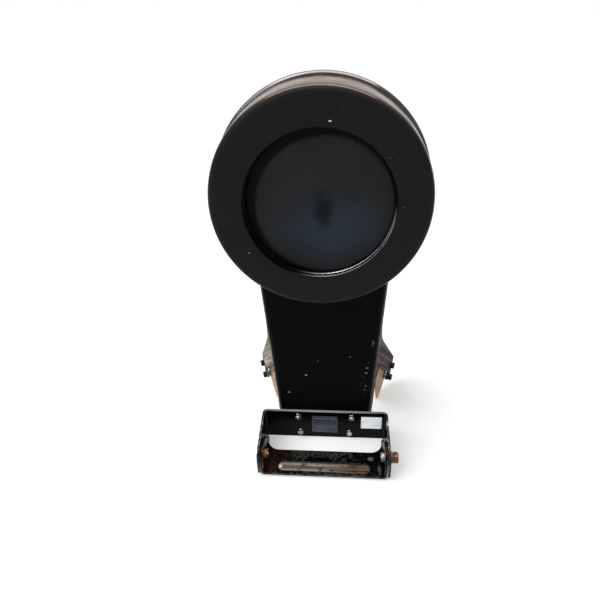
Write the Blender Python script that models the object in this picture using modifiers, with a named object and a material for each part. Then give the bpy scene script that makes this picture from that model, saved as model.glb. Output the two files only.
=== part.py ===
"""Kick-drum trigger pad: a round rubber pad on a folded steel tower, with a pedal bracket and rear spurs.

Metres, +Z up.  The origin is on the floor, in the plane of symmetry, half way between the front of the
pedal bracket and the back of the tower.  The player sits towards -Y.
"""
import math

import bmesh
import bpy
from mathutils import Matrix, Vector

# ---------------------------------------------------------------- driving dimensions, metres
# Pad
PAD_HEIGHT = 0.410          # centre of the pad above the floor
PAD_RADIUS = 0.116          # outside of the rubber rim
BACK_RIM_RADIUS = 0.1215    # flange of the rear case
HEAD_RADIUS = 0.0776        # strike head
PAD_DEPTH = 0.070           # tower face to the front of the rim
RIM_FACE_DEPTH = 0.022      # thick front part of the rim
RIM_ROUND = 0.008           # round on the rim's outer front edge
RECESS_DEPTH = 0.011        # rim front to head
HEAD_THICKNESS = 0.006
HEAD_TRAVEL = 0.003
BACK_RIM_THICKNESS = 0.014
GROOVE_WIDTH = 0.0035       # between the rear case flange and the rim
RIM_FLARE = 0.0035          # how much wider the rim is at its back than at its front
SPIGOT_WALL = 0.004         # tube of the rear case inside the rim
SKIRT_WALL = 0.0115         # rubber skirt of the rim round that tube
CASE_BACK = 0.005
PLATE_THICKNESS = 0.0016    # steel sensor plate
PLATE_LEDGE = 0.006         # step that the sensor plate lies on
PIEZO_RADIUS = 0.0175
PIEZO_THICKNESS = 0.0008
CONE_RADIUS = 0.011         # foam cone behind the piezo
PAD_BOLT_PITCH = 0.090      # square pattern through the tower

# Tower
TOWER_BOTTOM = 0.004
TOWER_TOP = 0.475
HALF_WIDTH_FLOOR = 0.065    # half width of the front plate, carried down to the floor
WIDTH_TAPER = 0.0556        # growth of that half width per metre of height
SIDE_FLARE = 0.37           # outward lean of the sides per metre of depth
SHEET = 0.0025
SHEET_BEND = 0.005
UPPER_LIP = 0.012           # depth of the sides above the arms
LOWER_LIP = 0.018           # depth of the sides below the arms
ARM_DEPTH = 0.139           # tower face to the back of the arms
ARM_TOP = 0.190             # where the arm leaves the upper lip
ARM_BACK_TOP = 0.053
ARM_BACK_BOTTOM = 0.014
TAB_FRONT_BOTTOM = 0.026
ARM_TAB = 0.030             # depth of the bolted tab at the back of the arm
TAB_RAKE = 0.009            # how far the tab's lower end comes forward
ARM_NECK = 0.042            # height of the inner corner over the tab
ARM_ROOT = 0.130            # height of the arm's underside at the lower lip
FOOT_THICKNESS = 0.0037

# Pedal bracket
BRACKET_WIDTH = 0.193
BRACKET_HEIGHT = 0.056
BRACKET_SHEET = 0.003
BRACKET_BEND = 0.007
BRACKET_REACH = 0.082       # tower face to the bracket's front
NOSE_RADIUS = 0.022         # round nose of the bracket's sides
BRACKET_SHOULDER = 0.016    # reach at which the sides start to slope down
SHOULDER_ROUND = 0.012
PIVOT_REACH = 0.059         # tower face to the pivot
PIVOT_HEIGHT = 0.024
WEB_BOLT_HALF_TOP = 0.0415
WEB_BOLT_HALF_BOTTOM = 0.0388
WEB_BOLT_TOP = 0.0455
WEB_BOLT_BOTTOM = 0.0120

# Pedal plate
PLATE_SHEET = 0.003
PLATE_FLOOR_GAP = 0.003
PLATE_FRONT_REACH = 0.081
PLATE_BACK_REACH = 0.037
EAR_BACK_REACH = 0.015
EAR_RADIUS = 0.014
EAR_FOOT = 0.006            # fillet where the ear runs down to its back end
PLATE_BEND = 0.005
NOTCH_ROUND = 0.022
BEAD_LENGTH = 0.136
BEAD_WIDTH = 0.017
BEAD_DEPTH = 0.0020
BEAD_REACH = 0.0665

# Spurs
SPUR_SHEET = 0.003
SPACER_LENGTH = 0.004
SPUR_TOE_FRONT = 0.083      # the spur stands on the floor between these two depths
SPUR_TOE_BACK = 0.099
SPUR_HEEL = 0.018           # height of its back corner
SPUR_FRONT = 0.038          # depth of the spur's front corner
SPUR_FRONT_HEIGHT = 0.103
SPUR_TOP = 0.054
SPUR_TRAVEL = 0.005
SPUR_BOLT_TOP = 0.0455      # heights of the two bolts
SPUR_BOLT_BOTTOM = 0.0255
SPUR_BOLT_RAKE = 0.008      # how far the lower bolt is forward of the upper one

# Fasteners
BOLT_RADIUS = 0.0025        # web and pad bolts
HEX_RADIUS = 0.0046         # half of its width across corners
HEX_HEIGHT = 0.0035
NUT_HEIGHT = 0.004
SPUR_BOLT_RADIUS = 0.003
SPUR_BOLT_HEX = 0.0058
SPUR_BOLT_HEAD = 0.006
PIVOT_RADIUS = 0.004
PIVOT_HEX = 0.0075
PIVOT_HEAD = 0.005
CAP_RADIUS = 0.0080
CAP_LENGTH = 0.0120

# Jack
JACK_BOX = (0.044, 0.026, 0.036)
JACK_BOX_WALL = 0.002
JACK_DROP = 0.085           # below the pad's centre
JACK_RADIUS = 0.0055
JACK_BORE = 0.0032
JACK_NUT = 0.0080
JACK_NUT_HEIGHT = 0.003
JACK_PROUD = 0.004          # how far the jack stands out of its box
JACK_LENGTH = 0.020
LEAD_RADIUS = 0.0012

# Plates on the web
LABEL = (0.040, 0.0006, 0.035)
STICKER = (0.032, 0.0004, 0.025)
STICKER_X = 0.0725
STICKER_LIFT = 0.006        # above the middle of the bolt pattern

# Fits
GAP = 0.0003                # between faces that rest on each other
HOLE_CLEARANCE = 0.0004     # round a shank
HEAD_CLEARANCE = 0.0005     # head to rim, all round
SPIGOT_CLEARANCE = 0.0006
WASHER = 0.001              # nylon washer beside each ear
ROUND = 48                  # facets of a large turned piece
FINE = 24                   # facets of a small one
FINE_ARC = 8                # steps of an outline's large arc
SMALL_EDGE = 0.002          # chamfer of rubber and steel edges
FLANGE_EDGE = 0.003         # chamfer of the rear case's flange
DAMPING_INSET = 0.0045      # rim's outside to the damping ring's
OVERLAP = 0.010             # how far a trimming shape passes a face

# ---------------------------------------------------------------- outlines
def rounded(corners, steps=4):
    """Outline whose corners (x, y, radius) are turned into arcs."""
    points = []
    count = len(corners)
    for index, (x, y, radius) in enumerate(corners):
        corner = Vector((x, y))
        before = Vector(corners[index - 1][:2]) - corner
        after = Vector(corners[(index + 1) % count][:2]) - corner
        half = before.angle(after) / 2
        if radius <= 0 or half > math.radians(89.5):
            points.append(tuple(corner))
            continue
        reach = min(radius / math.tan(half), 0.49 * before.length, 0.49 * after.length)
        radius = reach * math.tan(half)
        centre = corner + (before.normalized() + after.normalized()).normalized() * radius / math.sin(half)
        start = corner + before.normalized() * reach - centre
        end = corner + after.normalized() * reach - centre
        turn = start.angle_signed(end)
        for step in range(steps + 1):
            spoke = start.copy()
            spoke.rotate(Matrix.Rotation(-turn * step / steps, 2))
            points.append(tuple(centre + spoke))
    return points


def side_outline():
    """Depth and height of the folded side, with its arm, anticlockwise from the front bottom corner."""
    tab_front = ARM_DEPTH - ARM_TAB
    corners = [(0, TOWER_BOTTOM, 0), (LOWER_LIP, TOWER_BOTTOM, 0.004), (LOWER_LIP, ARM_ROOT, 0.012),
               (tab_front, ARM_NECK, 0.010), (tab_front - TAB_RAKE / 2, TAB_FRONT_BOTTOM, 0.005),
               (ARM_DEPTH - TAB_RAKE, ARM_BACK_BOTTOM, 0.006), (ARM_DEPTH, ARM_BACK_TOP, 0.006),
               (UPPER_LIP, ARM_TOP, 0.080), (UPPER_LIP, TOWER_TOP, 0.004), (0, TOWER_TOP, 0)]
    return rounded(corners)


# ---------------------------------------------------------------- worked-out places
SIDE_NORMAL = Vector((1.0, -SIDE_FLARE, -WIDTH_TAPER)).normalized()
BACK_REACH = max(depth for depth, _ in side_outline()) - SHEET * SIDE_NORMAL.y
TOWER_FACE_Y = (BRACKET_REACH - BACK_REACH) / 2
SIDES = {"left": -1, "right": 1}


def half_width(height):
    """Half width of the tower's front plate at a height."""
    return HALF_WIDTH_FLOOR + WIDTH_TAPER * height


def at(x, reach, z):
    """World point `reach` in front of the tower's face; a negative reach is behind it."""
    return Vector((x, TOWER_FACE_Y - reach, z))


# ---------------------------------------------------------------- scene and materials
for old in list(bpy.data.objects):
    bpy.data.objects.remove(old, do_unlink=True)

PARTS = bpy.data.collections.new("kick_drum_pad")
CUTTERS = bpy.data.collections.new("cutters")
for group in (PARTS, CUTTERS):
    bpy.context.scene.collection.children.link(group)


def material(name, colour, roughness, metallic=0.0):
    """A Principled material in one colour."""
    made = bpy.data.materials.new(name)
    made.use_nodes = True
    shader = made.node_tree.nodes["Principled BSDF"]
    shader.inputs["Base Color"].default_value = (*colour, 1.0)
    shader.inputs["Roughness"].default_value = roughness
    shader.inputs["Metallic"].default_value = metallic
    return made


BLACK_STEEL = material("black_painted_steel", (0.012, 0.012, 0.013), 0.35)
RUBBER = material("black_rubber", (0.015, 0.015, 0.016), 0.6)
HEAD_RUBBER = material("head_rubber", (0.022, 0.027, 0.036), 0.5)
FOAM = material("grey_foam", (0.10, 0.10, 0.11), 0.9)
PLASTIC = material("black_plastic", (0.02, 0.02, 0.02), 0.45)
ZINC = material("zinc_steel", (0.6, 0.6, 0.58), 0.3, 1.0)
YELLOW_ZINC = material("yellow_zinc_steel", (0.45, 0.36, 0.25), 0.4, 1.0)
BRASS = material("brass", (0.7, 0.5, 0.25), 0.3, 1.0)
BROWN_CAP = material("brown_cap", (0.16, 0.08, 0.03), 0.4)
NYLON = material("nylon", (0.7, 0.7, 0.66), 0.5)
LABEL_BLUE = material("label_blue", (0.03, 0.04, 0.06), 0.4)
LABEL_WHITE = material("label_white", (0.7, 0.72, 0.76), 0.4)


# ---------------------------------------------------------------- building blocks
def add_object(name, mesh, finish, collection=PARTS):
    """Link a mesh as an object with one material."""
    mesh.name = name
    mesh.materials.clear()
    if finish:
        mesh.materials.append(finish)
    made = bpy.data.objects.new(name, mesh)
    collection.objects.link(made)
    return made


def place_mesh(mesh, matrix):
    """Move a mesh by a matrix and keep its faces pointing out."""
    mesh.transform(matrix)
    if matrix.determinant() < 0:
        mesh.flip_normals()
    return mesh


def smooth(part, angle=35):
    """Shade the round faces smooth."""
    part.data.shade_smooth()
    part.data.set_sharp_from_angle(angle=math.radians(angle))


def outline_mesh(points, thickness):
    """Flat plate: the outline in local XY, from z = 0 to z = thickness."""
    curve = bpy.data.curves.new("outline", "CURVE")
    curve.dimensions = "2D"
    curve.fill_mode = "BOTH"
    curve.extrude = thickness / 2
    spline = curve.splines.new("POLY")
    spline.points.add(len(points) - 1)
    for point, (x, y) in zip(spline.points, points):
        point.co = (x, y, 0.0, 1.0)
    spline.use_cyclic_u = True
    guide = bpy.data.objects.new("outline", curve)
    CUTTERS.objects.link(guide)
    mesh = bpy.data.meshes.new_from_object(guide.evaluated_get(bpy.context.evaluated_depsgraph_get()))
    bpy.data.objects.remove(guide, do_unlink=True)
    plate = bmesh.new()
    plate.from_mesh(mesh)
    bmesh.ops.remove_doubles(plate, verts=plate.verts, dist=0.00001)
    bmesh.ops.recalc_face_normals(plate, faces=plate.faces)
    bmesh.ops.translate(plate, verts=plate.verts, vec=(0, 0, thickness / 2))
    plate.to_mesh(mesh)
    plate.free()
    return mesh


def cone_mesh(bottom, top, length, segments):
    """Cylinder or cone along +Z from z = 0."""
    mesh = bpy.data.meshes.new("cone")
    solid = bmesh.new()
    bmesh.ops.create_cone(solid, cap_ends=True, cap_tris=False, segments=segments,
                          radius1=bottom, radius2=top, depth=length)
    bmesh.ops.translate(solid, verts=solid.verts, vec=(0, 0, length / 2))
    solid.to_mesh(mesh)
    solid.free()
    return mesh


def box_mesh(size, centre):
    """Box of a size about a centre."""
    mesh = bpy.data.meshes.new("box")
    solid = bmesh.new()
    bmesh.ops.create_cube(solid, size=1.0)
    bmesh.ops.scale(solid, verts=solid.verts, vec=size)
    bmesh.ops.translate(solid, verts=solid.verts, vec=centre)
    solid.to_mesh(mesh)
    solid.free()
    return mesh


def turned(name, profile, finish, matrix, closed=False, steps=ROUND):
    """Body turned about its local Z from (radius, z) points that run down the outer side."""
    mesh = bpy.data.meshes.new(name)
    line = bmesh.new()
    verts = [line.verts.new((radius, 0, z)) for radius, z in profile]
    for first, second in zip(verts, verts[1:]):
        line.edges.new((first, second))
    if closed:
        line.edges.new((verts[-1], verts[0]))
    line.to_mesh(mesh)
    line.free()
    part = add_object(name, mesh, finish)
    part.matrix_world = matrix
    screw = part.modifiers.new("turn", "SCREW")
    screw.axis = "Z"
    screw.steps = steps
    screw.render_steps = steps
    screw.use_merge_vertices = True
    screw.merge_threshold = 0.00002
    screw.use_smooth_shade = True
    return part


def open_turned(name, profile, finish, matrix):
    """Cup: the profile starts at its front edge and touches the axis twice on the way."""
    start = next(index for index, (radius, _) in enumerate(profile) if radius == 0)
    ordered = profile[start + 1:] + profile[:start + 1]
    return turned(name, ordered, finish, matrix)


def thicken(part, thickness):
    """Give a folded sheet its thickness, inwards."""
    wall = part.modifiers.new("wall", "SOLIDIFY")
    wall.thickness = thickness
    wall.offset = -1
    wall.use_even_offset = True
    return part


def folded_strip(name, path, depth_vector, bend, thickness, inward, finish):
    """Open strip: a path swept along a vector, bent at its inner corners and given its thickness."""
    mesh = bpy.data.meshes.new(name)
    strip = bmesh.new()
    verts = [strip.verts.new(point) for point in path]
    edges = [strip.edges.new(pair) for pair in zip(verts, verts[1:])]
    grown = bmesh.ops.extrude_edge_only(strip, edges=edges)
    moved = [item for item in grown["geom"] if isinstance(item, bmesh.types.BMVert)]
    bmesh.ops.translate(strip, verts=moved, vec=depth_vector)
    direction = Vector(depth_vector).normalized()
    folds = []
    for edge in strip.edges:
        line = (edge.verts[1].co - edge.verts[0].co).normalized()
        if len(edge.link_faces) == 2 and abs(line.dot(direction)) > 0.99:
            folds.append(edge)
    bmesh.ops.bevel(strip, geom=folds, offset=bend, segments=4, profile=0.5, affect="EDGES", material=-1)
    bmesh.ops.recalc_face_normals(strip, faces=strip.faces)
    middle = max(strip.faces, key=lambda face: face.calc_area())
    if middle.normal.dot(Vector(inward)) > 0:
        bmesh.ops.reverse_faces(strip, faces=strip.faces)
    strip.to_mesh(mesh)
    strip.free()
    return thicken(add_object(name, mesh, finish), thickness)


def side_prism(corners, half_span):
    """Prism along X whose outline is (reach, height, radius) in side view."""
    mesh = outline_mesh(rounded(corners, FINE_ARC), 2 * half_span)
    turn = Matrix(((0, 0, 1, -half_span), (-1, 0, 0, TOWER_FACE_Y), (0, 1, 0, 0), (0, 0, 0, 1)))
    return place_mesh(mesh, turn)


def cutter(mesh):
    """Hidden object that cuts or trims others."""
    made = add_object("cutter", mesh, None, CUTTERS)
    made.hide_render = True
    made.display_type = "WIRE"
    return made


def boolean(part, tool, operation="DIFFERENCE"):
    """Cut, join or trim a part with a hidden tool."""
    step = part.modifiers.new(operation.lower(), "BOOLEAN")
    step.object = tool
    step.operation = operation
    step.solver = "EXACT"
    return part


def soften(part, width, segments=2, angle=40):
    """Bevel the edges sharper than an angle."""
    step = part.modifiers.new("soften", "BEVEL")
    step.width = width
    step.segments = segments
    step.limit_method = "ANGLE"
    step.angle_limit = math.radians(angle)
    return part


def along(direction, point):
    """Frame at a point whose +Z is the direction."""
    z_axis = Vector(direction).normalized()
    up = Vector((0, 1, 0)) if abs(z_axis.z) > 0.9 else Vector((0, 0, 1))
    x_axis = up.cross(z_axis).normalized()
    y_axis = z_axis.cross(x_axis)
    turn = Matrix((x_axis, y_axis, z_axis)).transposed().to_4x4()
    return Matrix.Translation(Vector(point)) @ turn


def drill(part, radius, direction, point, depth, segments=FINE):
    """Round hole; the point is the middle of the hole's length."""
    frame = along(direction, Vector(point) - Vector(direction).normalized() * depth / 2)
    return boolean(part, cutter(place_mesh(cone_mesh(radius, radius, depth, segments), frame)))


def mirror_for(side):
    """Matrix that puts a right-hand shape on a side."""
    return Matrix.Diagonal((SIDES[side], 1, 1, 1))


def hex_bolt(name, finish, direction, seat, shank, side="right", head=HEX_HEIGHT, radius=BOLT_RADIUS,
             across=HEX_RADIUS):
    """Hex-headed bolt; +direction points out of its head, and the seat is under the head."""
    frame = mirror_for(side) @ along(direction, seat)
    head_mesh = cone_mesh(across, across, head, 6)
    part = add_object(name, place_mesh(head_mesh, frame), finish)
    shank_mesh = cone_mesh(radius, radius, shank + head / 2, FINE)
    shank_mesh.transform(Matrix.Translation((0, 0, -shank)))
    return boolean(part, cutter(place_mesh(shank_mesh, frame)), "UNION")


def hex_nut(name, finish, direction, seat, side="right", height=NUT_HEIGHT, radius=BOLT_RADIUS,
            across=HEX_RADIUS):
    """Hex nut that stands on its seat, along the direction."""
    frame = mirror_for(side) @ along(direction, seat)
    part = add_object(name, place_mesh(cone_mesh(across, across, height, 6), frame), finish)
    bore = cone_mesh(radius + HOLE_CLEARANCE, radius + HOLE_CLEARANCE, 2 * height, FINE)
    bore.transform(Matrix.Translation((0, 0, -height / 2)))
    return boolean(part, cutter(place_mesh(bore, frame)))


def ring(name, finish, direction, seat, inner, outer, length, side="right"):
    """Washer or spacer that stands on its seat, along the direction."""
    frame = mirror_for(side) @ along(direction, seat)
    part = add_object(name, place_mesh(cone_mesh(outer, outer, length, FINE), frame), finish)
    bore = cone_mesh(inner, inner, 2 * length, FINE)
    bore.transform(Matrix.Translation((0, 0, -length / 2)))
    return boolean(part, cutter(place_mesh(bore, frame)))


def joint_empty(name, point, *pieces):
    """Empty on a joint's axis that carries the moving pieces."""
    pivot = bpy.data.objects.new(name, None)
    PARTS.objects.link(pivot)
    pivot.location = point
    for piece in pieces:
        piece.parent = pivot
        piece.matrix_parent_inverse = Matrix.Translation(-Vector(point))


# ---------------------------------------------------------------- tower
def side_point(depth, height, out=0.0):
    """Point on the outer face of the tower's right side."""
    across = half_width(height) + SIDE_FLARE * depth
    return at(across, -depth, height) + SIDE_NORMAL * out


def side_frame(out=0.0):
    """Sheared frame of that face: local X is depth, Y is height and Z points out."""
    columns = (Vector((SIDE_FLARE, 1, 0)), Vector((WIDTH_TAPER, 0, 1)), SIDE_NORMAL)
    turn = Matrix(columns).transposed().to_4x4()
    return Matrix.Translation(side_point(0, 0, out)) @ turn


def build_tower():
    """Front plate and both sides, folded from one sheet."""
    mesh = bpy.data.meshes.new("tower")
    sheet = bmesh.new()
    outline = side_outline()
    folds = []
    ends = {}
    for side, sign in SIDES.items():
        verts = []
        for depth, height in outline:
            point = side_point(depth, height)
            verts.append(sheet.verts.new((sign * point.x, point.y, point.z)))
        sheet.faces.new(verts if sign > 0 else verts[::-1])
        ends[side] = (verts[0], verts[-1])
        folds.append(sheet.edges.get((verts[0], verts[-1])))
    left_low, left_high = ends["left"]
    right_low, right_high = ends["right"]
    sheet.faces.new((left_low, right_low, right_high, left_high))
    bmesh.ops.bevel(sheet, geom=folds, offset=SHEET_BEND, segments=3, profile=0.5, affect="EDGES",
                    material=-1)
    bmesh.ops.recalc_face_normals(sheet, faces=sheet.faces)
    front = min(sheet.faces, key=lambda face: face.calc_center_median().y)
    if front.normal.y > 0:
        bmesh.ops.reverse_faces(sheet, faces=sheet.faces)
    sheet.to_mesh(mesh)
    sheet.free()
    return thicken(add_object("tower", mesh, BLACK_STEEL), SHEET)


tower = build_tower()

web_bolts = []
for x_sign in (-1, 1):
    web_bolts.append((x_sign * WEB_BOLT_HALF_TOP, WEB_BOLT_TOP))
    web_bolts.append((x_sign * WEB_BOLT_HALF_BOTTOM, WEB_BOLT_BOTTOM))
pad_bolts = []
for x_sign in (-1, 1):
    for z_sign in (-1, 1):
        pad_bolts.append((x_sign * PAD_BOLT_PITCH / 2, PAD_HEIGHT + z_sign * PAD_BOLT_PITCH / 2))
jack_z = PAD_HEIGHT - JACK_DROP
lead_hole = (0.0, jack_z + JACK_BOX[2] / 4)

for x, z in web_bolts + pad_bolts:
    drill(tower, BOLT_RADIUS + HOLE_CLEARANCE, (0, 1, 0), at(x, -SHEET / 2, z), 6 * SHEET)
drill(tower, 4 * LEAD_RADIUS, (0, 1, 0), at(lead_hole[0], -SHEET / 2, lead_hole[1]), 6 * SHEET)

# ---------------------------------------------------------------- pad
pad_frame = along((0, -1, 0), at(0, 0, PAD_HEIGHT))

groove_back = BACK_RIM_THICKNESS + GAP
rim_back = BACK_RIM_THICKNESS + GROOVE_WIDTH
rim_step = PAD_DEPTH - RIM_FACE_DEPTH
rim_bore = HEAD_RADIUS + HEAD_CLEARANCE
skirt_inner = PAD_RADIUS - SKIRT_WALL
spigot_outer = skirt_inner - SPIGOT_CLEARANCE
spigot_inner = spigot_outer - SPIGOT_WALL
spigot_front = rim_step - GAP
head_front = PAD_DEPTH - RECESS_DEPTH
head_back = head_front - HEAD_THICKNESS
foam_front = head_back - HEAD_TRAVEL - GAP
ledge = (CASE_BACK + foam_front) / 2
plate_front = ledge + GAP + PLATE_THICKNESS
cushion_radius = spigot_inner - SPIGOT_CLEARANCE
piezo_back = ledge - PIEZO_THICKNESS

rim_profile = [(rim_bore + SMALL_EDGE, PAD_DEPTH)]
for step in range(6):
    turn = math.radians(18 * step)
    rim_profile.append((PAD_RADIUS - RIM_ROUND * (1 - math.sin(turn)),
                        PAD_DEPTH - RIM_ROUND * (1 - math.cos(turn))))
rim_outer = PAD_RADIUS + RIM_FLARE
rim_profile += [(rim_outer, rim_back + SMALL_EDGE), (rim_outer - SMALL_EDGE, rim_back),
                (skirt_inner, rim_back), (skirt_inner, rim_step), (rim_bore, rim_step),
                (rim_bore, PAD_DEPTH - SMALL_EDGE)]
rim_ring = turned("rim_ring", rim_profile, RUBBER, pad_frame, closed=True)

head_profile = [(0, head_front), (HEAD_RADIUS - 0.001, head_front), (HEAD_RADIUS, head_front - 0.001),
                (HEAD_RADIUS, head_back), (0, head_back)]
strike_head = turned("strike_head", head_profile, HEAD_RUBBER, pad_frame)

foam_profile = [(0, foam_front), (HEAD_RADIUS, foam_front), (HEAD_RADIUS, rim_step - 2 * GAP),
                (cushion_radius, rim_step - 2 * GAP), (cushion_radius, plate_front + GAP),
                (0, plate_front + GAP)]
turned("foam_cushion", foam_profile, FOAM, pad_frame)

plate_profile = [(0, plate_front), (cushion_radius, plate_front), (cushion_radius, ledge + GAP),
                 (0, ledge + GAP)]
turned("sensor_plate", plate_profile, ZINC, pad_frame)

piezo_profile = [(0, ledge), (PIEZO_RADIUS, ledge), (PIEZO_RADIUS, piezo_back), (0, piezo_back)]
turned("piezo_sensor", piezo_profile, BRASS, pad_frame, steps=FINE)

cone_front = piezo_back - GAP
cone_profile = [(0, cone_front), (CONE_RADIUS * 0.6, cone_front), (CONE_RADIUS, CASE_BACK + GAP),
                (0, CASE_BACK + GAP)]
turned("piezo_cone", cone_profile, FOAM, pad_frame, steps=FINE)

damping_outer = PAD_RADIUS - DAMPING_INSET
damping_profile = [(damping_outer - SMALL_EDGE / 2, rim_back - GAP),
                   (damping_outer, rim_back - SMALL_EDGE / 2 - GAP), (damping_outer, groove_back),
                   (skirt_inner, groove_back), (skirt_inner, rim_back - GAP)]
turned("damping_ring", damping_profile, RUBBER, pad_frame, closed=True)

case_profile = [(spigot_inner, spigot_front), (spigot_outer, spigot_front),
                (spigot_outer, BACK_RIM_THICKNESS), (BACK_RIM_RADIUS - FLANGE_EDGE, BACK_RIM_THICKNESS),
                (BACK_RIM_RADIUS, BACK_RIM_THICKNESS - FLANGE_EDGE), (BACK_RIM_RADIUS, FLANGE_EDGE),
                (BACK_RIM_RADIUS - FLANGE_EDGE + GAP, GAP), (0, GAP), (0, CASE_BACK),
                (spigot_inner - PLATE_LEDGE, CASE_BACK), (spigot_inner - PLATE_LEDGE, ledge),
                (spigot_inner, ledge)]


rear_case = open_turned("rear_case", case_profile, PLASTIC, pad_frame)
for x, z in pad_bolts:
    drill(rear_case, BOLT_RADIUS + HOLE_CLEARANCE, (0, 1, 0), at(x, CASE_BACK / 2, z), 3 * CASE_BACK)
drill(rear_case, 3 * LEAD_RADIUS, (0, 1, 0), at(lead_hole[0], CASE_BACK / 2, lead_hole[1]), 3 * CASE_BACK)

for index, (x, z) in enumerate(pad_bolts, 1):
    grip = SHEET + CASE_BACK + 2 * GAP + NUT_HEIGHT
    hex_bolt(f"pad_bolt_{index}", ZINC, (0, 1, 0), at(x, -SHEET - GAP, z), grip)
    hex_nut(f"pad_nut_{index}", ZINC, (0, -1, 0), at(x, CASE_BACK + GAP, z))

# ---------------------------------------------------------------- jack box behind the tower
box_front = -SHEET - GAP
jack_box = add_object("jack_box", box_mesh(JACK_BOX, at(0, box_front - JACK_BOX[1] / 2, jack_z)), PLASTIC)
hollow = [JACK_BOX[0] - 2 * JACK_BOX_WALL, JACK_BOX[1], JACK_BOX[2] - 2 * JACK_BOX_WALL]
boolean(jack_box, cutter(box_mesh(hollow, at(0, box_front - JACK_BOX[1] / 2 + JACK_BOX_WALL, jack_z))))
jack_y = box_front - JACK_BOX[1] / 2
box_bottom = jack_z - JACK_BOX[2] / 2
drill(jack_box, JACK_RADIUS + HOLE_CLEARANCE, (0, 0, 1), at(0, jack_y, box_bottom), 4 * JACK_BOX_WALL)

jack_frame = Matrix.Translation(at(0, jack_y, box_bottom - JACK_PROUD))
shoulder = JACK_PROUD + JACK_BOX_WALL + GAP
jack_profile = [(JACK_BORE, JACK_LENGTH), (JACK_RADIUS + SMALL_EDGE, JACK_LENGTH),
                (JACK_RADIUS + SMALL_EDGE, shoulder), (JACK_RADIUS, shoulder), (JACK_RADIUS, 0),
                (JACK_BORE, 0)]
turned("output_jack", jack_profile, ZINC, jack_frame, closed=True, steps=FINE)
hex_nut("jack_nut", ZINC, (0, 0, 1), at(0, jack_y, box_bottom - JACK_NUT_HEIGHT - GAP),
        height=JACK_NUT_HEIGHT, radius=JACK_RADIUS, across=JACK_NUT)

lead_route = [at(0, piezo_back - 0.0025, PAD_HEIGHT - CONE_RADIUS - 0.004),
              at(0, piezo_back - 0.004, PAD_HEIGHT - 0.035), at(0, piezo_back - 0.008, PAD_HEIGHT - 0.055),
              at(0, CASE_BACK + 0.005, lead_hole[1] + 0.002), at(0, CASE_BACK, lead_hole[1]),
              at(0, -SHEET - 0.004, lead_hole[1]), at(0, jack_y + 0.004, lead_hole[1] - 0.001)]
lead_curve = bpy.data.curves.new("sensor_lead", "CURVE")
lead_curve.dimensions = "3D"
lead_curve.bevel_depth = LEAD_RADIUS
lead_curve.bevel_resolution = 2
lead_curve.use_fill_caps = True
lead_spline = lead_curve.splines.new("POLY")
lead_spline.points.add(len(lead_route) - 1)
for point, place in zip(lead_spline.points, lead_route):
    point.co = (*place, 1.0)
lead_curve.materials.append(PLASTIC)
PARTS.objects.link(bpy.data.objects.new("sensor_lead", lead_curve))

# ---------------------------------------------------------------- pedal bracket
web_back = GAP
web_front = web_back + BRACKET_SHEET
half_bracket = BRACKET_WIDTH / 2


bracket_path = [at(-half_bracket, BRACKET_REACH, 0), at(-half_bracket, web_back, 0),
                at(half_bracket, web_back, 0), at(half_bracket, BRACKET_REACH, 0)]
pedal_bracket = folded_strip("pedal_bracket", bracket_path, (0, 0, BRACKET_HEIGHT), BRACKET_BEND,
                             BRACKET_SHEET, (0, -1, 0), BLACK_STEEL)
nose_start = BRACKET_REACH - NOSE_RADIUS
bracket_side = [(-OVERLAP, -OVERLAP, 0), (nose_start, -OVERLAP, 0), (nose_start, 0, 0),
                (BRACKET_REACH, 0, NOSE_RADIUS), (BRACKET_REACH, 2 * NOSE_RADIUS, NOSE_RADIUS),
                (BRACKET_SHOULDER, BRACKET_HEIGHT, SHOULDER_ROUND),
                (BRACKET_SHOULDER - SMALL_EDGE, BRACKET_HEIGHT + OVERLAP, 0),
                (-OVERLAP, BRACKET_HEIGHT + OVERLAP, 0)]
boolean(pedal_bracket, cutter(side_prism(bracket_side, BRACKET_WIDTH)), "INTERSECT")

web_middle = (web_back + web_front) / 2
for x, z in web_bolts:
    drill(pedal_bracket, BOLT_RADIUS + HOLE_CLEARANCE, (0, 1, 0), at(x, web_middle, z), 6 * BRACKET_SHEET)
for index, (x, z) in enumerate(web_bolts, 1):
    grip = SHEET + 2 * GAP + BRACKET_SHEET + NUT_HEIGHT + SMALL_EDGE
    hex_bolt(f"web_bolt_{index}", ZINC, (0, 1, 0), at(x, -SHEET - GAP, z), grip)
    hex_nut(f"web_nut_{index}", ZINC, (0, -1, 0), at(x, web_front + GAP, z))

plate_z = (WEB_BOLT_TOP + WEB_BOLT_BOTTOM) / 2
add_object("label_plate", box_mesh(LABEL, at(0, web_front + GAP + LABEL[1] / 2, plate_z)), LABEL_BLUE)
sticker_centre = at(STICKER_X, web_front + GAP + STICKER[1] / 2, plate_z + STICKER_LIFT)
add_object("sticker_plate", box_mesh(STICKER, sticker_centre), LABEL_WHITE)

# ---------------------------------------------------------------- pedal plate
ear_outer = half_bracket - BRACKET_SHEET - WASHER - 2 * GAP
ear_inner = ear_outer - PLATE_SHEET
ear_top = PIVOT_HEIGHT + EAR_RADIUS
plate_depth = PLATE_FRONT_REACH - EAR_BACK_REACH
plate_path = [at(-ear_outer, PLATE_FRONT_REACH, ear_top + SMALL_EDGE),
              at(-ear_outer, PLATE_FRONT_REACH, PLATE_FLOOR_GAP),
              at(ear_outer, PLATE_FRONT_REACH, PLATE_FLOOR_GAP),
              at(ear_outer, PLATE_FRONT_REACH, ear_top + SMALL_EDGE)]
pedal_plate = folded_strip("pedal_plate", plate_path, (0, plate_depth, 0), PLATE_BEND, PLATE_SHEET,
                           (0, 0, 1), BLACK_STEEL)
plate_top = PLATE_FLOOR_GAP + PLATE_SHEET

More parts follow.
